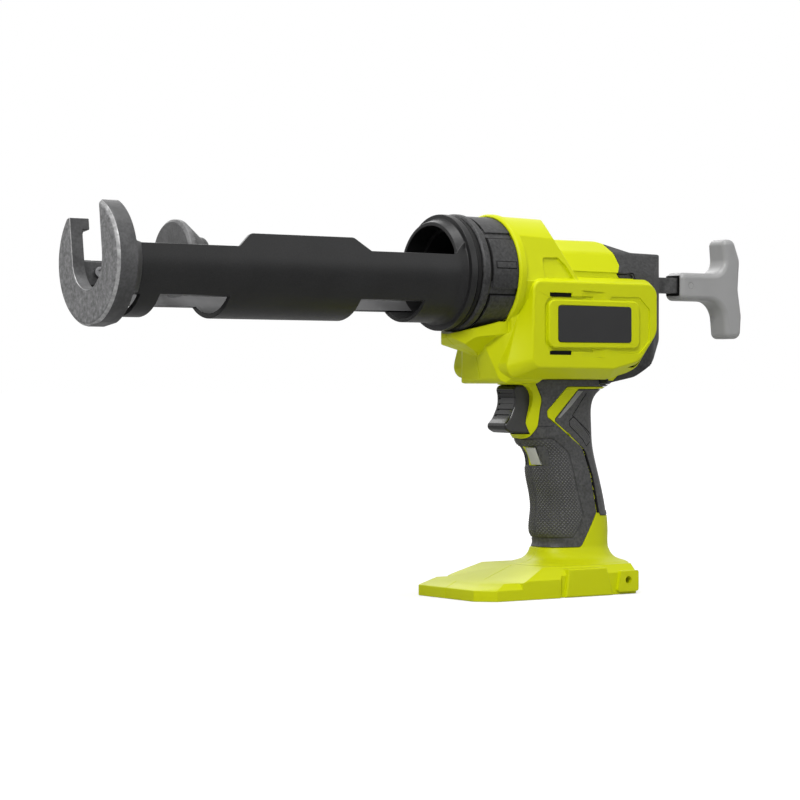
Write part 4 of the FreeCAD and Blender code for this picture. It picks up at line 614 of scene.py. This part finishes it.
def grid_sheet(columns, rows, place):
    """Grid with its points placed one by one, trimmed where there is no place, and raised to a sheet."""
    bm = bmesh.new()
    bmesh.ops.create_grid(bm, x_segments=columns, y_segments=rows, size=0.5)
    rise = bm.verts.layers.float_vector.new("rise")
    crest = bm.verts.layers.float.new("crest")
    bare = []
    for vertex in bm.verts:
        found = place(round((vertex.co.x + 0.5) * columns), round((0.5 - vertex.co.y) * rows))
        if found is None:
            bare.append(vertex)
        else:
            vertex.co, vertex[rise], vertex[crest] = found
    bmesh.ops.delete(bm, geom=bare, context="VERTS")
    bmesh.ops.delete(bm, geom=[vertex for vertex in bm.verts if not vertex.link_faces], context="VERTS")
    for risen in bmesh.ops.extrude_face_region(bm, geom=bm.faces[:])["geom"]:
        if isinstance(risen, bmesh.types.BMVert):
            risen.co += risen[rise]
    bm.verts.layers.float_vector.remove(rise)
    bmesh.ops.recalc_face_normals(bm, faces=bm.faces)
    return bm


def edge_reach(point, zone):
    """Distance from a point to the edge of a zone, negative outside it."""
    inside = False
    nearest = math.inf
    for (ax, az), (bx, bz) in zip(zone, zone[1:] + zone[:1]):
        along_x, along_z = bx - ax, bz - az
        share = ((point[0] - ax) * along_x + (point[1] - az) * along_z) / (along_x ** 2 + along_z ** 2)
        share = max(0.0, min(1.0, share))
        nearest = min(nearest, math.hypot(point[0] - ax - share * along_x, point[1] - az - share * along_z))
        if (az > point[1]) != (bz > point[1]) and point[0] < ax + (point[1] - az) / along_z * along_x:
            inside = not inside
    return nearest if inside else -nearest


def grip_axis(z):
    """A place inside the grip at one height."""
    return placed(GRIP_AXIS_X + (z - GRIP_AXIS_Z) * GRIP_LEAN, 0.0, z)


def rubber_point(tree, z, angle):
    """Point of the rubber's outside and its facing, at one height and angle round the grip, or nothing."""
    out = Vector((math.cos(angle), math.sin(angle), 0.0))
    hit, turn, _, _ = tree.ray_cast(grip_axis(z) + out * RAY_REACH, -out, RAY_REACH)
    if hit is None or turn.dot(out) < FACING:
        return None
    return hit, turn


def even_angles(tree, z, way, step):
    """Angles at even distances round one side of the rubber at one height."""
    angles = []
    run = last = None
    for k in range(ROW_RAYS):
        angle = way * ROW_TURN * (k + 0.5) / ROW_RAYS
        found = rubber_point(tree, z, angle)
        if found is None:
            continue
        run = 0.0 if last is None else run + (found[0] - last).length
        last = found[0]
        if run >= len(angles) * step:
            angles.append(angle)
    return angles


def knurl_patch(name, node, way, zone, margin, pitch, rise, under):
    """Diamond knurl over a zone of the rubber, sunk at its edge."""
    tree = surface_of(node)
    step = pitch / STEPS_PER_KNURL
    top, low = max(z for _, z in zone), min(z for _, z in zone)
    rows = int((top - low) / step)
    angles = max((even_angles(tree, top - j * step, way, step * MM) for j in range(rows + 1)), key=len)

    def place(i, j):
        z = top - j * step
        found = rubber_point(tree, z, angles[i])
        if found is None:
            return None
        for shift_z, shift_angle in EDGE_SHIFTS:
            if rubber_point(tree, z + shift_z, angles[i] + shift_angle) is None:
                return None
        point, turn = found
        reach = edge_reach(side_place(point), zone) - margin
        if reach < 0.0:
            return None
        waves = [abs(2.0 * (w % STEPS_PER_KNURL) / STEPS_PER_KNURL - 1.0) for w in (i + j, i - j)]
        crest = 1.0 - max(waves)
        lift = min(1.0, reach / pitch) * rise * crest - KNURL_SINK
        return point - turn * under * MM, turn * (under + lift) * MM, crest

    make_piece(name, grid_sheet(len(angles) - 1, rows, place), "housing", KNURL_PAINTED_LIGHT_AND_SHADE)


def along(line, share):
    """Point at a share of the way along a line of points, each stretch counting the same."""
    spot = share * (len(line) - 1)
    k = min(int(spot), len(line) - 2)
    return [a + (b - a) * (spot - k) for a, b in zip(line[k], line[k + 1])]


def line_edges(points, width):
    """Two edge lines on either side of a line of points."""
    edges = ([], [])
    for k, (x, z) in enumerate(points):
        before, after = points[max(0, k - 1)], points[min(len(points) - 1, k + 1)]
        run_x, run_z = after[0] - before[0], after[1] - before[1]
        length = math.hypot(run_x, run_z)
        for edge, sign in zip(edges, (0.5, -0.5)):
            edge.append((x - run_z / length * sign * width, z + run_x / length * sign * width))
    return edges


def laid_strip(name, node, way, edges, material, rise, under):
    """Strip between two edge lines, laid on one side of a node."""
    tree = surface_of(node)
    side = Vector((0.0, way, 0.0))
    rows = STRIP_STEPS * (len(edges[0]) - 1)

    def place(i, j):
        (ax, az), (bx, bz) = along(edges[0], j / rows), along(edges[1], j / rows)
        share = i / STRIP_COLUMNS
        spot = placed(ax + (bx - ax) * share, 0.0, az + (bz - az) * share)
        hit, turn, _, _ = tree.ray_cast(spot + side * RAY_REACH, -side, RAY_REACH)
        if hit is None:
            return None
        return hit - turn * under * MM, turn * (under + rise) * MM, 1.0

    make_piece(name, grid_sheet(STRIP_COLUMNS, rows, place), "housing", material)


def dress_grip(side_name, way):
    """Knurls, a painted highlight stripe and lines of painted shade on one side of the grip and the rear cap.
    """
    grip, strap, core = side_name + "_grip", side_name + "_backstrap", side_name + "_housing"
    panel_shade = line_edges(PANEL_LINE, PANEL_LINE_WIDTH)
    patch_shade = line_edges(PATCH_LINE, PATCH_LINE_WIDTH)
    tail = line_edges(TAIL_LINE, TAIL_WIDTH)
    gap = line_edges(GAP_LINE, GAP_WIDTH)
    cap_shade = line_edges(CAP_LINE, CAP_LINE_WIDTH)
    knurl_patch(side_name + "_grip_knurl", grip, way, KNURL_ZONE, **GRIP_KNURL)
    knurl_patch(side_name + "_strap_knurl", strap, way, STRAP_PATCH, **STRAP_KNURL)
    # Painted highlight stripe on the backstrap's bevelled edge
    laid_strip(side_name + "_strap_painted_highlight", strap, way, STRAP_STRIPE, STRIPE_HIGHLIGHT, **STRIPE_LAY)
    # Lines of painted shade in the strap's grooves, the gap by the rubber and the cap's recess
    laid_strip(side_name + "_strap_shade_line", strap, way, panel_shade, PAINTED_SHADE_BLACK, **STRAP_LINE_LAY)
    laid_strip(side_name + "_patch_shade", strap, way, patch_shade, PAINTED_SHADE_BLACK, **STRAP_LINE_LAY)
    laid_strip(side_name + "_accent_tail", core, way, tail, FINISHES["housing_plastic"], **TAIL_LAY)
    laid_strip(side_name + "_gap_shade", core, way, gap, PAINTED_SHADE_BLACK, **GAP_LAY)
    laid_strip(side_name + "_cap_shade", "rear_cap", way, cap_shade, PAINTED_SHADE_BLACK, **CAP_LINE_LAY)


for side_name, way in SIDES:
    dress_grip(side_name, way)

# Trims of the panel, the collar, the button's window and the pull handle; the black ones are painted shade


def box_piece(name, low, high, body, round_off=0.0):
    """Black box of painted shade between two corners given in millimetres, with its edges rounded off."""
    bm = bmesh.new()
    bmesh.ops.create_cube(bm, size=1.0)
    a, b = placed(*low), placed(*high)
    for vertex in bm.verts:
        vertex.co = Vector([a[k] + (vertex.co[k] + 0.5) * (b[k] - a[k]) for k in range(3)])
    if round_off:
        bmesh.ops.bevel(bm, geom=bm.edges[:], offset=round_off * MM, offset_type="OFFSET",
                        segments=ROUND_SEGMENTS, profile=0.5, affect="EDGES", clamp_overlap=True, material=-1)
    bmesh.ops.recalc_face_normals(bm, faces=bm.faces)
    make_piece(name, bm, body, PAINTED_SHADE_BLACK)


def collar_arc(name, x_range, radii, turns, material):
    """Sector of a ring on the collar, between two places along it, two radii and two angles in degrees."""
    bm = bmesh.new()
    start = math.radians(turns[0])
    corners = [(x_range[0], radii[0]), (x_range[1], radii[0]), (x_range[1], radii[1]), (x_range[0], radii[1])]
    section = bm.faces.new([bm.verts.new(placed(x, r * math.cos(start), r * math.sin(start)))
                            for x, r in corners])
    bmesh.ops.spin(bm, geom=[section], cent=placed(0.0, 0.0, 0.0), axis=(1.0, 0.0, 0.0),
                   angle=math.radians(turns[1] - turns[0]), steps=max(2, int(turns[1] - turns[0])))
    bmesh.ops.recalc_face_normals(bm, faces=bm.faces)
    make_piece(name, bm, "collar", material)


def index_arc(name, x_range, rise, turns, material):
    """Sector that stands out from one of the collar's pads."""
    collar_arc(name, x_range, (COLLAR_PAD_RADIUS - INDEX_SINK, COLLAR_PAD_RADIUS + rise), turns, material)


def window_sheet(name, body, material, y_range, z_range, drop, thick):
    """Sheet across the button's window, a set depth below the rubber above and below it."""
    tree = surface_of("left_grip")
    front = Vector((1.0, 0.0, 0.0))

    def rubber_x(y, z):
        return tree.ray_cast(placed(GRIP_AXIS_X, y, z) + front * RAY_REACH, -front, RAY_REACH)[0].x

    def place(i, j):
        y = y_range[0] + (y_range[1] - y_range[0]) * i / STRIP_STEPS
        z = z_range[0] + (z_range[1] - z_range[0]) * j / STRIP_STEPS
        top_x, low_x = rubber_x(y, WINDOW_TOP), rubber_x(y, WINDOW_LOW)
        spot = placed(0.0, y, z)
        spot.x = top_x + (low_x - top_x) * (z - WINDOW_TOP) / (WINDOW_LOW - WINDOW_TOP) - (drop + thick) * MM
        return spot, front * thick * MM, 1.0

    make_piece(name, grid_sheet(STRIP_STEPS, STRIP_STEPS, place), body, material)


for side_name, way in SIDES:
    inner, outer = sorted(way * (PANEL_FACE - depth) for depth in VENT_DEPTHS)
    for row_name, z in VENT_HEIGHTS.items():
        low = (VENT_X - VENT_HALF, inner, z - VENT_HALF_HEIGHT)
        high = (VENT_X + VENT_HALF, outer, z + VENT_HALF_HEIGHT)
        box_piece(side_name + "_" + row_name + "_vent_shade", low, high, "housing")

for k in range(PADS):
    first = PAD_START + PAD_PITCH * k
    last = first + PAD_ANGLE
    line_end = last + PAD_END_ANGLE
    # Painted shade: black strips along each pad's front and end edges, where the shade of its step falls
    collar_arc("pad_front_shade_%d" % k, (PAD_FRONT - PAD_LINE_LAP, PAD_LINE_FRONT), PAD_LINE_RADII,
               (first + PAD_LINE_LEAD, line_end), PAINTED_SHADE_BLACK)
    collar_arc("pad_end_shade_%d" % k, (PAD_REAR, PAD_LINE_FRONT), PAD_LINE_RADII,
               (last - PAD_END_LAP, line_end), PAINTED_SHADE_BLACK)
index_arc("index_bar_shade", material=PAINTED_SHADE_BLACK, **INDEX_SHADE)
index_arc("index_bar", material=FINISHES["cover_plastic"], **INDEX_BAR)

window_sheet("lock_button_cap", "lock_bolt", FINISHES["button_plastic"], **BUTTON_CAP)
window_sheet("window_surround", "housing", FINISHES["grip_rubber"], **WINDOW_SURROUND)
# Painted shadow: black box in the mouth of the pull handle's stem, where its front face lies in shade
box_piece("stem_mouth_shadow", STEM_SHADOW_LOW, STEM_SHADOW_HIGH, "rod", STEM_SHADOW_ROUND)

# Floor, light and camera


def floor_material():
    """Pale floor that shows near white to the camera and still takes the object's shadow."""
    material, tree, shader = new_material("pale_floor")
    shader.inputs["Base Color"].default_value = FLOOR_GREY
    shader.inputs["Roughness"].default_value = FLOOR_ROUGH
    shader.inputs["Specular IOR Level"].default_value = 0.0
    shader.inputs["Emission Color"].default_value = (*WHITE, 1.0)
    path = tree.nodes.new("ShaderNodeLightPath")
    place = tree.nodes.new("ShaderNodeTexCoord")
    away = tree.nodes.new("ShaderNodeVectorMath")
    away.operation = "LENGTH"
    tree.links.new(place.outputs["Object"], away.inputs[0])
    level = mapped(tree, away.outputs["Value"], GLOW_REACH, GLOW_LEVELS)
    glow = combined(tree, "MULTIPLY", path.outputs["Is Camera Ray"], level)
    tree.links.new(glow, shader.inputs["Emission Strength"])
    return material


def floor():
    """Wide level floor under the foot."""
    bm = bmesh.new()
    bmesh.ops.create_grid(bm, x_segments=1, y_segments=1, size=FLOOR_HALF)
    piece = add_object("floor", mesh_of("floor", bm))
    piece.location.z = -FLOOR_DROP
    dress(piece, floor_material())


def looking(way):
    """Turn of a lamp or camera that looks along a direction."""
    return way.to_track_quat("-Z", "Y").to_euler()


def soft_lamp(name, place, size, power):
    """Square studio lamp turned to face the object."""
    lamp = bpy.data.lights.new(name, "AREA")
    lamp.size = size
    lamp.energy = power
    piece = add_object(name, lamp)
    piece.location = place
    piece.rotation_euler = looking(VIEW_TARGET - Vector(place))


def studio_world():
    """Even pale surround that the camera and polished surfaces see as white."""
    world = bpy.data.worlds.new("studio")
    bpy.context.scene.world = world
    world.use_nodes = True
    tree = world.node_tree
    back = tree.nodes["Background"]
    back.inputs["Color"].default_value = (*WHITE, 1.0)
    path = tree.nodes.new("ShaderNodeLightPath").outputs
    direct = combined(tree, "MAXIMUM", path["Is Camera Ray"], path["Is Glossy Ray"])
    clear = combined(tree, "MAXIMUM", direct, path["Is Transmission Ray"])
    tree.links.new(mapped(tree, clear, WHOLE_RANGE, SURROUND_LEVELS), back.inputs["Strength"])


def photo_camera():
    """Camera at the photograph's place."""
    data = bpy.data.cameras.new("photo_camera")
    data.lens = VIEW_LENS
    data.sensor_width = SENSOR
    data.clip_end = VIEW_END
    camera = add_object("photo_camera", data)
    level = math.cos(VIEW_RISE)
    back = Vector((math.sin(VIEW_TURN) * level, math.cos(VIEW_TURN) * level, math.sin(VIEW_RISE)))
    camera.location = VIEW_TARGET + back * VIEW_DISTANCE
    camera.rotation_euler = looking(-back)
    bpy.context.scene.camera = camera


floor()
for lamp_name, lamp in LAMPS.items():
    soft_lamp(lamp_name, **lamp)
studio_world()
photo_camera()
bpy.context.scene.view_settings.view_transform = "Standard"
